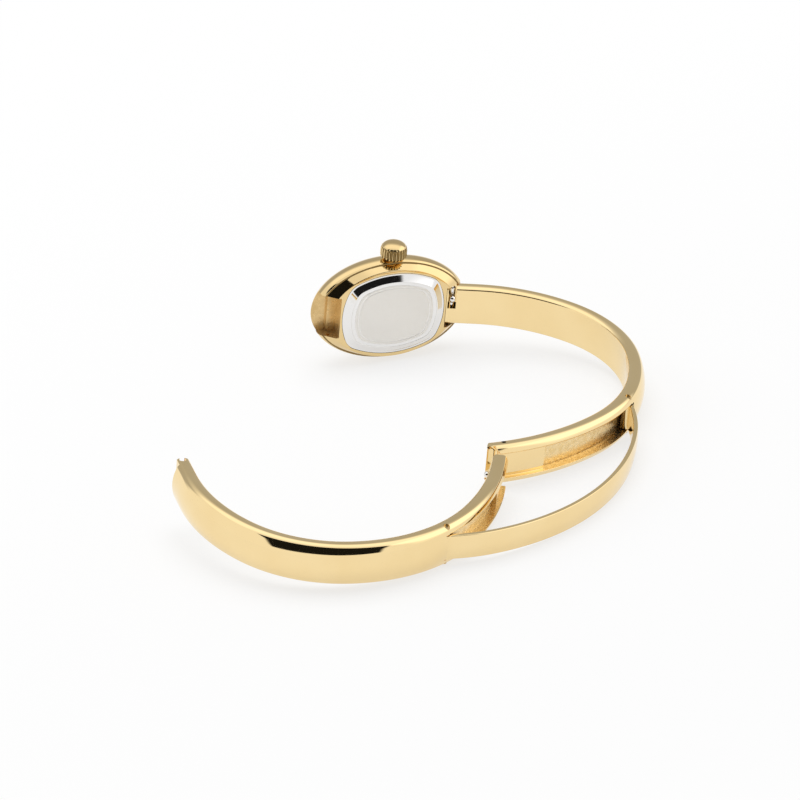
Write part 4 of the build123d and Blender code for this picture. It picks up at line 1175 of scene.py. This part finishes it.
@dataclass
class WatchCase:
    """Oval case middle, caseback, crystal and dial track, on the frame of the case's back plane.

    A row is a height, a half length and a half width, and an ease is rows that are added to one.
    """

    back_drop: float = 1.0
    half_back: tuple[float, float] = (11.2, 8.3)
    half_rim: tuple[float, float] = (13.1, 9.1)
    rim_step: float = 0.3
    rim_height: float = 1.3
    belt: tuple[Row, ...] = ((1.3, 13.1, 9.1), (3.4, 13.5, 9.3), (4.8, 12.6, 8.6), (5.7, 10.7, 7.35))
    belt_rows: int = 48
    back_ease: tuple[Row, ...] = ((0.0, -0.08, -0.08), (0.03, -0.02, -0.02), (0.09, 0.05, 0.02))
    rim_ease: tuple[Row, ...] = ((-0.12, -0.14, -0.05), (-0.03, 0.0, 0.0), (0.0, 0.0, 0.0))
    belt_ease: tuple[Row, ...] = ((0.0, -0.1, -0.1), (0.03, -0.03, -0.03), (0.1, 0.01, 0.01))
    lug_gap: float = 7.6
    recess_start: float = 9.35
    recess_stop: float = 14.5
    ledge_reach: float = 1.5
    ledge_height: float = 2.85
    lip_height: float = 3.45
    back_angle: float = 25.0
    glass_angle: float = 40.0
    near: float = 0.02
    groove: float = 0.04
    groove_shares: tuple[float, float] = (0.965, 1.0)
    plate: tuple[float, float] = (18.0, 15.2)
    plate_gap: float = 0.05
    plate_ease: tuple[tuple[float, float], ...] = ((0.0, 0.06), (0.04, 0.015), (0.12, 0.0))
    flange: float = 0.5
    face: tuple[float, float] = (15.4, 12.6)
    face_ease: tuple[tuple[float, float], ...] = ((0.08, 0.03), (0.02, 0.006))
    face_shares: tuple[float, float, int] = (0.74, 0.02, 12)
    rise: float = 0.6
    shoulder: float = 0.3
    track_depth: float = 0.05
    track_edges: tuple[tuple[float, int], ...] = (
        (0.985, 0), (0.975, 1), (0.90, 1), (0.885, 0), (0.84, 0), (0.825, 1), (0.815, 1), (0.80, 0))
    cavity: tuple[float, float] = (17.2, 13.4)
    cavity_top: float = 3.65
    opening: tuple[float, float] = (16.4, 11.6)
    opening_foot: float = 1.0
    crystal: tuple[float, float] = (18.2, 12.4)
    crystal_seat: float = 4.55
    crystal_edge: float = 1.25
    crystal_dome: float = 0.65
    crystal_seal: float = 0.22
    crystal_gap: float = 0.02
    crystal_ease: tuple[float, float, float] = (0.1, 0.08, 0.05)
    glass_floor: tuple[float, float] = (0.03, 0.5)
    glass_shares: tuple[float, float, int] = (0.99, 0.02, 28)
    below: float = -1.0
    above: float = 7.0
    corner_x_share: float = 0.84
    corner_y_share: float = 0.74
    corner_round_share: float = 0.2
    dial_top: float = 3.6
    strokes: int = 60
    stroke: Row = (0.22, 0.035, 0.02)
    half_track: tuple[float, float] = (7.85, 5.45)
    stem_height: float = 2.25
    stem_hole: float = 0.87
    stem_bore: tuple[float, float] = (5.75, 12.0)
    lug_hole: float = 0.33
    lug_hole_depth: float = 0.42
    lug_hole_sides: int = 40

    def placed(self, ring: Placement) -> Placement:
        """Frame of the back plane: x to the left lug, y to the crown, z to the dial."""
        return ring.aimed((0, -self.back_drop, 0), (-1, 0, 0), (0, 1, 0))

    def cushion(self, length: float, width: float, count: int = 60) -> Array:
        """Outline with four bowed sides and rounded corners.

        Each side is an arc through its two corners and its middle. A corner is a circle that
        touches both arcs, found where two circles about their centres, each smaller by the
        corner's radius, cross.

        Args:
            length: full length along x.
            width: full width along y.
            count: points to each quarter, a multiple of three.

        Returns:
            Points round the outline, evenly numbered in each quarter.
        """
        a, b = length / 2, width / 2
        ca, cb = a * self.corner_x_share, b * self.corner_y_share
        small = width * self.corner_round_share
        long_r = (ca ** 2 + (b - cb) ** 2) / (2 * (b - cb))
        short_r = (cb ** 2 + (a - ca) ** 2) / (2 * (a - ca))
        yc, xc = b - long_r, a - short_r
        r1, r2 = long_r - small, short_r - small
        gap = np.hypot(xc, yc)
        share = (r1 ** 2 - r2 ** 2 + gap ** 2) / (2 * gap)
        rise = np.sqrt(r1 ** 2 - share ** 2)
        ux, uy = xc / gap, -yc / gap
        options = [(share * ux + s * rise * uy, yc + share * uy - s * rise * ux) for s in (1, -1)]
        fx, fy = max(options, key=lambda p: p[0] + p[1])
        top = np.arctan2(fy - yc, fx)
        end = np.arctan2(fy, fx - xc)
        third = count // 3 + 1
        side = arc((xc, 0.0), short_r, 0.0, end, third)[:-1]
        corner = arc((fx, fy), small, end, top, third)[:-1]
        upper = arc((0.0, yc), long_r, top, np.pi / 2, third)[:-1]
        quarter = np.vstack((side, corner, upper))
        mirrored = np.vstack(((0, b), quarter[::-1][:-1])) * (-1, 1)
        half = np.vstack((quarter, mirrored))
        return np.vstack((half, -half))

    def rings(self, rows: Sequence[Row]) -> Array:
        """Ellipses stacked by rows.

        Args:
            rows: height, half length and half width of each.

        Returns:
            The stack, as rows by points by (x, y, z).
        """
        sizes = np.asarray(rows, float)
        made = np.empty((len(sizes), OVAL_POINTS, 3))
        made[..., :2] = circle(1.0, OVAL_POINTS)[None] * sizes[:, None, 1:]
        made[..., 2] = sizes[:, :1]
        return made

    def _belt(self) -> Array:
        """Fine rows of the belt: cubic curves through the stated ones, by distance along them.

        Returns:
            Rows of height, half length and half width.
        """
        known = np.array(self.belt)
        step = np.hypot(np.diff(known[:, 0]), np.diff(known[:, 1]))
        at = np.append(0.0, np.cumsum(step)) / step.sum()
        fine = np.linspace(0, 1, self.belt_rows)
        return np.column_stack([np.polyval(np.polyfit(at, column, 3), fine) for column in known.T])

    def middle(self, place: Placement, finishes: Finishes) -> None:
        """Case middle: a conical back ring, a step and a domed belt, carved for what it holds.

        Args:
            place: the case's frame.
            finishes: the shared finishes.
        """
        under = (self.rim_height, self.half_rim[0] - self.rim_step, self.half_rim[1] - self.rim_step)
        belt = self._belt()
        rows = np.vstack((np.add((0.0, *self.half_back), self.back_ease), np.add(under, self.rim_ease),
                          np.add(belt[0], self.belt_ease), belt[2:]))
        piece = stacked("case_middle", place, self.rings(rows))
        seat = self.cushion(*(size + 2 * self.plate_gap for size in self.plate))
        cutters = [
            prism(place, seat, self.below, self.flange),
            prism(place, self.cushion(*self.cavity), self.below, self.cavity_top),
            prism(place, oval(self.opening[0] / 2, self.opening[1] / 2), self.opening_foot, self.above),
            prism(place, oval(self.crystal[0] / 2, self.crystal[1] / 2), self.crystal_seat, self.above),
        ]
        half_gap, lip = self.lug_gap / 2, self.recess_start + self.ledge_reach
        for s in (-1, 1):
            for start, top in ((self.recess_start, self.ledge_height), (lip, self.lip_height)):
                low, high = sorted((s * start, s * self.recess_stop))
                cutters.append(block(place, (low, -half_gap, self.below), (high, half_gap, top)))
        carve(piece, cutters)
        carve(piece, self._holes(place))
        smooth(piece)
        # darker gold as painted shade, satin gold in the recesses, and painted shade in the groove
        dress(piece, Body.CASE, (finishes.shaded_case_gold, finishes.recess_gold, finishes.painted_shade_gold),
              ("mid_case",))
        self._tone_recesses_and_shade_groove(piece, place)

    def _holes(self, place: Placement) -> list[bpy.types.Object]:
        """What is cut crossways.

        Args:
            place: the case's frame.

        Returns:
            Cutters of both pairs of lug holes, blind into the recess walls, and of the stem's hole.
        """
        across = place.aimed((0, 0, 0), (1, 0, 0), (0, 1, 0))
        bar_x, bar_y = RingLine().bar
        level, deep = -(bar_y + self.back_drop), self.lug_gap / 2 + self.lug_hole_depth
        holes = [bore(across, (s * bar_x, level), self.lug_hole, -deep, deep, self.lug_hole_sides)
                 for s in (-1, 1)]
        return [*holes, bore(across, (0, -self.stem_height), self.stem_hole, *self.stem_bore, ROUND_SIDES)]

    def _tone_recesses_and_shade_groove(self, piece: bpy.types.Object, place: Placement) -> None:
        """Gives the recess walls a darker satin gold and the groove a dark one, painted shade, by where a face
        lies.

        Args:
            piece: the case middle.
            place: the case's frame.
        """
        count = len(piece.data.polygons)
        centres = np.empty(count * 3)
        piece.data.polygons.foreach_get("center", centres)
        x, y, z = np.abs(place.local(centres.reshape(-1, 3))).T
        inside = ((x > self.recess_start - self.near) & (y < self.lug_gap / 2 + self.near)
                  & (z < self.lip_height + self.near))
        around = np.hypot(x / self.half_rim[0], y / self.half_rim[1])
        low, high = self.groove_shares
        # the groove's faces get the dark gold as painted shade
        groove = (np.abs(z - self.rim_height) < self.groove) & (around > low) & (around < high)
        tones = np.where(inside, 1, np.where(groove, 2, 0))
        piece.data.polygons.foreach_set("material_index", tones.astype(np.int32))

    def back(self, place: Placement, finishes: Finishes) -> None:
        """Caseback: eased flange, polished bevel and a satin face with two fine oval tracks.

        Args:
            place: the case's frame.
            finishes: the shared finishes.
        """
        (length, width), (long, wide) = self.plate, self.face
        rows = [(length, width, self.flange)]
        rows += [(length - inset, width - inset, height) for inset, height in self.plate_ease]
        rows.append((length - 2 * self.shoulder, width - 2 * self.shoulder, 0.0))
        rows += [(long + over, wide + over, low - self.rise) for over, low in self.face_ease]
        shiny = len(rows)
        rows += [(long * s, wide * s, self.track_depth * deep - self.rise) for s, deep in self.track_edges]
        rows += [(long * s, wide * s, -self.rise) for s in np.linspace(*self.face_shares)]
        rings = np.stack([np.insert(self.cushion(a, b), 2, h, axis=1) for a, b, h in rows])
        deep = [edge[1] for edge in self.track_edges]
        lines = [shiny + i for i in range(len(deep) - 1) if deep[i] and deep[i + 1]]
        row = np.arange(len(rows) - 1)
        satin = (row >= shiny) & ~np.isin(row, lines)
        faces = [tuple(f) for f in loop_faces(*rings.shape[:2])]
        faces.append(tuple(range(OVAL_POINTS)))
        faces.append(tuple(range(rings.shape[0] * OVAL_POINTS - OVAL_POINTS, rings.shape[0] * OVAL_POINTS)))
        groups = np.append(np.repeat(satin, OVAL_POINTS).astype(int), (0, 1))
        piece = build_mesh("caseback_plate", place.world(rings.reshape(-1, 3)), faces, groups)
        smooth(piece, self.back_angle)
        dress(piece, Body.CASE, (finishes.steel, finishes.back_face), ("caseback",))

    def glass(self, place: Placement, finishes: Finishes) -> None:
        """Crystal: a straight wall, an eased edge and a dome that falls as the square of the radius.

        Args:
            place: the case's frame.
            finishes: the shared finishes.
        """
        a, b = (size / 2 - self.crystal_seal for size in self.crystal)
        low = self.crystal_seat + self.crystal_gap
        high = low + self.crystal_edge
        inset, foot, edge = self.crystal_ease
        rows = [(low, a * s, b * s) for s in self.glass_floor]
        rows += [(low, a - inset, b - inset), (low + foot, a, b), (high - edge, a, b)]
        rows += [(high + self.crystal_dome * (1 - s * s), a * s, b * s)
                 for s in np.linspace(*self.glass_shares)]
        piece = stacked("crystal_dome", place, self.rings(rows))
        smooth(piece, self.glass_angle)
        dress(piece, Body.CASE, (finishes.glass,), ("crystal",))

    def minute_track(self, place: Placement, finishes: Finishes) -> None:
        """Sixty fine strokes on the dial: one small box turned to even angles on an ellipse.

        Args:
            place: the case's frame.
            finishes: the shared finishes.
        """
        turn = np.linspace(0, 2 * np.pi, self.strokes, endpoint=False)
        base = np.array(((-1, -1, 0), (1, -1, 0), (1, 1, 0), (-1, 1, 0)))
        local = np.vstack((base, base + (0, 0, 1))) * self.stroke
        c, s = np.cos(turn)[:, None], np.sin(turn)[:, None]
        x = self.half_track[0] * c + local[:, 0] * c - local[:, 1] * s
        y = self.half_track[1] * s + local[:, 0] * s + local[:, 1] * c
        z = np.broadcast_to(self.dial_top + local[:, 2], x.shape)
        points = np.stack((x, y, z), axis=-1).reshape(-1, 3)
        box = np.array(((0, 3, 2, 1), (4, 5, 6, 7), (0, 1, 5, 4), (1, 2, 6, 5), (2, 3, 7, 6), (3, 0, 4, 7)))
        shift = len(local) * np.arange(self.strokes)[:, None, None]
        faces = (box[None] + shift).reshape(-1, box.shape[1])
        piece = build_mesh("minute_track", place.world(points), faces)
        dress(piece, Body.CASE, (finishes.black,))

    def build(self, place: Placement, finishes: Finishes) -> None:
        """Builds every piece of the case."""
        for part in (self.middle, self.back, self.glass, self.minute_track):
            part(place, finishes)


@dataclass
class Crown:
    """Winding crown with a smooth dome over a fluted skirt.

    Its rows are a radius, a height and the share of the flutes' depth that is cut there.
    """

    base: float = 9.65
    skirt: float = 1.6
    dome: float = 1.3
    dome_power: float = 0.9
    dome_degrees: tuple[float, float] = (6.0, 89.5)
    dome_rows: int = 30
    radius: float = 2.25
    edge: float = 0.03
    foot: float = 1.9
    foot_ease: float = 0.05
    foot_share: float = 0.3
    flare: float = 0.45
    skirt_ends: tuple[float, float] = (0.15, 0.12)
    flutes: int = 24
    flute: float = 0.23
    flute_fade: float = 32.0
    painted_shade_above: tuple[float, float] = (0.35, 0.3)
    hollow: float = 0.95
    hollow_depth: float = 0.6
    hollow_ease: float = 0.04
    hollow_pole: float = 0.001
    foot_inset: float = 0.1
    flare_shares: tuple[float, float, int] = (0.2, 1.0, 5)
    skirt_rows: int = 6
    rim_ease: tuple[float, float] = (0.01, 0.05)
    per_flute: int = 14
    sharp_angle: float = 40.0

    def rows(self) -> Array:
        """Profile from the hollow underneath, round the foot, up the skirt and over the dome.

        The dome is a quarter of an ellipse, raised to a power that keeps its shoulder full.

        Returns:
            Rows of radius, height and flute share.
        """
        base, top, ease, edge = self.base, self.base + self.skirt, self.foot_ease, self.edge
        rows: list[Row] = [
            (self.hollow_pole, base + self.hollow_depth, 0), (self.hollow, base + self.hollow_depth, 0),
            (self.hollow, base + edge, 0), (self.hollow + self.hollow_ease, base, 0),
            (self.foot - self.foot_inset, base, 0), (self.foot, base + ease, self.foot_share)]
        rows += [(self.foot + (self.radius - self.foot) * s, base + ease + (self.flare - ease) * s,
                  self.foot_share + (1 - self.foot_share) * s) for s in np.linspace(*self.flare_shares)]
        low, high = base + self.flare + self.skirt_ends[0], top - self.skirt_ends[1]
        rows += [(self.radius, height, 1.0) for height in np.linspace(low, high, self.skirt_rows)]
        inset, below = self.rim_ease
        rows += [(self.radius - inset, top - below, 1.0), (self.radius - edge, top, 1.0)]
        for degrees in np.linspace(*self.dome_degrees, self.dome_rows):
            a = np.radians(degrees)
            rows.append(((self.radius - edge) * np.cos(a) ** self.dome_power, top + self.dome * np.sin(a),
                         max(0.0, 1.0 - degrees / self.flute_fade)))
        return np.array(rows)

    def build(self, place: Placement, stem_height: float, finishes: Finishes) -> None:
        """Builds the crown about the stem's axis.

        The skirt's radius is cut by round flutes: less the height of a circle of the flute's
        radius over the distance round to the nearest flute. Faces deep in a flute are darker: painted shade.

        Args:
            place: the case's frame.
            stem_height: height of the stem over the back plane.
            finishes: the shared finishes.
        """
        axis = place.aimed((0, 0, stem_height), (1, 0, 0), (0, 1, 0))
        count = self.flutes * self.per_flute
        turn = np.arange(count) * 2 * np.pi / count
        pitch = 2 * np.pi / self.flutes
        away = np.abs((turn + pitch / 2) % pitch - pitch / 2) * self.radius
        cut = np.sqrt(np.clip(self.flute ** 2 - away ** 2, 0, None))
        shape = self.rows()
        radius = shape[:, :1] - shape[:, 2:] * cut
        height = np.broadcast_to(shape[:, 1:2], radius.shape)
        rings = np.stack((radius * np.cos(turn), radius * np.sin(turn), height), axis=-1)
        # faces deep in a flute get the dark gold as painted shade
        share, depth = self.painted_shade_above
        deep = (shape[:-1, 2:] > share) & (cut > depth * self.flute)
        piece = stacked("crown_fluted", axis, rings, deep.astype(int).ravel())
        smooth(piece, self.sharp_angle)
        # darker gold as painted shade all over, and painted shade deep in the flutes
        dress(piece, Body.CROWN, (finishes.shaded_case_gold, finishes.painted_shade_gold), ("crown",))


@dataclass(frozen=True)
class Lamp:
    """Square lamp aimed at the watch, in metres and watts."""

    name: str
    place: tuple[float, float, float]
    size: float
    power: float

    def build(self) -> None:
        """Adds the lamp."""
        lamp = bpy.data.lights.new(self.name, "AREA")
        lamp.size = self.size
        lamp.energy = self.power
        made = bpy.data.objects.new(self.name, lamp)
        made.location = self.place
        made.rotation_mode = "QUATERNION"
        made.rotation_quaternion = (-Vector(self.place)).to_track_quat("-Z", "Y")
        made.visible_glossy = False
        bpy.context.scene.collection.objects.link(made)


@dataclass(frozen=True)
class Panel:
    """Far studio panel that polished metal mirrors.

    Its bearing from the camera's side and its height are in degrees, its half sizes and soft edges
    in tangents, and its level is a brightness.
    """

    bearing: float
    elevation: float
    half: tuple[float, float]
    edge: tuple[float, float]
    level: float
    least_ahead: float = 0.01

    def axes(self) -> tuple[Array, Array, Array]:
        """The panel's own directions.

        Returns:
            Unit rows towards the panel, along its width and up its height.
        """
        b, e = np.radians((self.bearing, self.elevation))
        ahead = np.array((np.sin(b) * np.cos(e), -np.cos(b) * np.cos(e), np.sin(e)))
        aside = np.array((np.cos(b), np.sin(b), 0.0))
        return ahead, aside, np.cross(ahead, aside)

    def over(self, wiring: Wiring, way: Socket, below: Socket | float) -> Socket:
        """Lays the panel over what is behind it.

        A ray meets the panel's plane at the ratios of its sideways and upward parts to its forward
        part; inside the half sizes the panel's level counts, and it fades over the soft edges.

        Args:
            wiring: the world's node tree.
            way: direction of the ray.
            below: brightness behind the panel.

        Returns:
            The brightness with the panel in front.
        """
        ahead, *others = (wiring.add("VectorMath", "Value", {0: way, 1: axis}, operation="DOT_PRODUCT")
                          for axis in self.axes())
        share = wiring.sum("GREATER_THAN", ahead, self.least_ahead)
        for part, half, edge in zip(others, self.half, self.edge):
            away = wiring.sum("ABSOLUTE", wiring.sum("DIVIDE", part, ahead))
            share = wiring.sum("MULTIPLY", share, wiring.fade(away, half, half - edge))
        return wiring.add("Mix", "Result", {"Factor": share, "A": below, "B": self.level})


@dataclass(frozen=True)
class Studio:
    """White table, soft lights, the panels that the gold mirrors and the camera of the photograph."""

    elevation: float = 30.3
    roll: float = 5.06
    camera_at: tuple[float, float, float] = (2.79, -881.9, 498.1)
    focal_px: float = 6021.0
    image_px: float = 800.0
    case_turn: float = 21.2
    sensor: float = 36.0
    clip: tuple[float, float] = (0.01, 20.0)
    floor_radius: float = 0.9
    floor_sides: int = 128
    floor_white: float = 0.86
    glow_reach: tuple[float, float] = (0.06, 0.22)
    glow_share: tuple[float, float] = (0.7, 1.0)
    soft_light: float = 0.55
    lamps: tuple[Lamp, ...] = (
        Lamp("overhead", (-0.05, 0.15, 0.9), 0.9, 5.5),
        Lamp("left", (-0.85, 0.2, 0.45), 0.5, 1.6),
    )
    panels: tuple[Panel, ...] = (
        Panel(180.0, 82.0, (1.4, 0.55), (0.6, 0.35), 1.25),
        Panel(180.0, 25.0, (2.6, 0.85), (1.0, 0.6), 0.48),
        Panel(95.0, 28.0, (0.8, 0.6), (0.4, 0.3), 1.5),
        Panel(0.0, 28.0, (1.0, 0.53), (0.12, 0.03), 0.01),
    )

    def build(self, ring: Placement) -> None:
        """Builds the floor, world, lamps and camera.

        Args:
            ring: the closed ring's frame.
        """
        self._floor()
        self._world()
        for lamp in self.lamps:
            lamp.build()
        self._camera(ring)

    def _floor(self) -> None:
        """White floor: part lit, part its own white to the camera and in reflections.

        Its own share grows with the distance from the watch, so the shadow stays close to it.
        """
        rim = circle(self.floor_radius, self.floor_sides)
        floor = build_mesh("floor", np.column_stack((rim, np.zeros(len(rim)))), [tuple(range(len(rim)))])
        made = bpy.data.materials.new("floor_white")
        made.use_nodes = True
        wiring = Wiring(made.node_tree)
        wiring.nodes.clear()
        where = wiring.add("TexCoord", "Object", {})
        away = wiring.add("VectorMath", "Value", {0: where}, operation="LENGTH")
        own = wiring.fade(away, *self.glow_reach, *self.glow_share)
        matt = wiring.add("BsdfDiffuse", 0, {"Color": (*(self.floor_white,) * 3, 1)})
        glow = wiring.add("Emission", 0, {"Strength": 1.0})
        share = wiring.sum("MULTIPLY", self._seen(wiring), own)
        surface = wiring.add("MixShader", 0, {"Fac": share, 1: matt, 2: glow})
        wiring.feed(wiring.nodes.new("ShaderNodeOutputMaterial").inputs["Surface"], surface)
        floor.data.materials.append(made)

    @staticmethod
    def _seen(wiring: Wiring) -> Socket:
        """Tells the rays that show the surface from those that only carry light.

        Args:
            wiring: the node tree.

        Returns:
            1 for a ray from the camera, a reflection or a refraction, otherwise 0.
        """
        path = wiring.nodes.new("ShaderNodeLightPath").outputs
        either = wiring.sum("MAXIMUM", path["Is Camera Ray"], path["Is Glossy Ray"])
        return wiring.sum("MAXIMUM", either, path["Is Transmission Ray"])

    def _world(self) -> None:
        """White to the camera, white with the panels in reflections, a plain soft level as light."""
        world = bpy.data.worlds.new("studio")
        bpy.context.scene.world = world
        world.use_nodes = True
        wiring = Wiring(world.node_tree)
        shade = wiring.nodes["Background"].inputs
        shade["Color"].default_value = (1, 1, 1, 1)
        way = wiring.add("TexCoord", "Generated", {})
        mirrored: Socket | float = 1.0
        for panel in self.panels:
            mirrored = panel.over(wiring, way, mirrored)
        straight = wiring.add("LightPath", "Is Camera Ray", {})
        plain = wiring.add("Mix", "Result", {"Factor": straight, "A": mirrored, "B": 1.0})
        level = wiring.add("Mix", "Result", {"Factor": self._seen(wiring), "A": self.soft_light, "B": plain})
        wiring.feed(shade["Strength"], level)

    def _camera(self, ring: Placement) -> None:
        """Camera of the photograph, from the fitted place over the ring's plane.

        Args:
            ring: the closed ring's frame, which lies turned by the case's turn.
        """
        base = ring.turned(0, 0, -self.case_turn)
        e, r = np.radians(self.elevation), np.radians(self.roll)
        right = np.array((1.0, 0.0, 0.0))
        up = np.array((0.0, np.sin(e), np.cos(e)))
        back = np.array((0.0, -np.cos(e), np.sin(e)))
        tilted = (np.cos(r) * right + np.sin(r) * up, np.cos(r) * up - np.sin(r) * right, back)
        rows = np.array(tilted) @ base.axes
        data = bpy.data.cameras.new("camera")
        data.sensor_width = self.sensor
        data.lens = self.focal_px / self.image_px * self.sensor
        data.clip_start, data.clip_end = self.clip
        made = bpy.data.objects.new("camera", data)
        matrix = np.eye(4)
        matrix[:3, :3] = rows.T
        matrix[:3, 3] = base.world(np.array((self.camera_at,)))[0]
        made.matrix_world = Matrix(matrix.tolist())
        bpy.context.scene.collection.objects.link(made)
        bpy.context.scene.camera = made


def dress_nodes(nodes: dict[str, bpy.types.Object], finishes: Finishes) -> None:
    """Gives every carried-over node of the frame its finish.

    Args:
        nodes: the frame's objects by name.
        finishes: the shared finishes.
    """
    groups = {
        finishes.gold: ("mid_case", "right_arm", "left_arm", "folding_link", "crown", "hour_markers",
                        "hour_hand", "minute_hand"),
        finishes.recess_gold: ("right_hinge_pin", "left_hinge_pin"),
        finishes.steel: ("caseback", "bar_tube", "bar_slider", "bar_fixed_pin", "latch_bolt", "latch_plug",
                         "crown_tube", "stem", "quartz_can"),
        finishes.brushed: ("battery", "battery_clamp", "movement_screws", "cannon_pinion", "stator",
                           "coil_core"),
        finishes.wire: ("bar_spring", "latch_spring"),
        finishes.brass: ("movement_plate", "centre_wheel", "third_wheel", "relay_wheel", "hour_wheel",
                         "minute_wheel"),
        finishes.copper: ("coil",),
        finishes.board: ("circuit_board",),
        finishes.black: ("chip",),
        finishes.plastic: ("movement_holder",),
        finishes.rubber: ("caseback_gasket", "crystal_gasket", "crown_gasket"),
        finishes.lacquer: ("dial",),
        finishes.magnet: ("rotor",),
        finishes.glass: ("crystal",),
    }
    for finish, names in groups.items():
        for name in names:
            nodes[name].data.materials.clear()
            nodes[name].data.materials.append(finish)
    log.info("frame nodes dressed: %d", sum(len(n) for n in groups.values()))


def main() -> None:
    """Builds the watch round the frame, then the studio."""
    logging.basicConfig(level=logging.INFO, format="%(name)s %(message)s")
    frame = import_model()
    bpy.context.scene.view_settings.view_transform = "Standard"
    finishes = Finishes()
    dress_nodes(frame["nodes"], finishes)
    ring = RingLine()
    home = ring.placed(frame["joints"])
    link_place = home.turned(*ring.right_pin, ring.fold)
    left_place = link_place.turned(*ring.left_pin, ring.fold)
    right = Arm("right_arm", 1, start=0.0, run=5.0, pin_turn=ring.right_pin_turn, nose=1.15,
                body=Body.RIGHT_ARM, end_over=0.8, bead_reach=1.1).build(home, finishes)
    left = Arm("left_arm", -1, start=5.2, run=4.5, pin_turn=ring.left_pin_turn, nose=0.75,
               body=Body.LEFT_ARM, end_corner=0.35, end_over=0.4).build(left_place, finishes)
    bar, latch, case = QuickRelease(), Latch(), WatchCase()
    bar.open_window(right, home)
    bar.build(home, finishes)
    latch.open_arm(left, left_place)
    latch.build(left_place, finishes)
    FoldingLink().build(link_place, finishes)
    case_place = case.placed(home)
    case.build(case_place, finishes)
    Crown().build(case_place, case.stem_height, finishes)
    Studio().build(home)


if __name__ == "__main__":
    main()
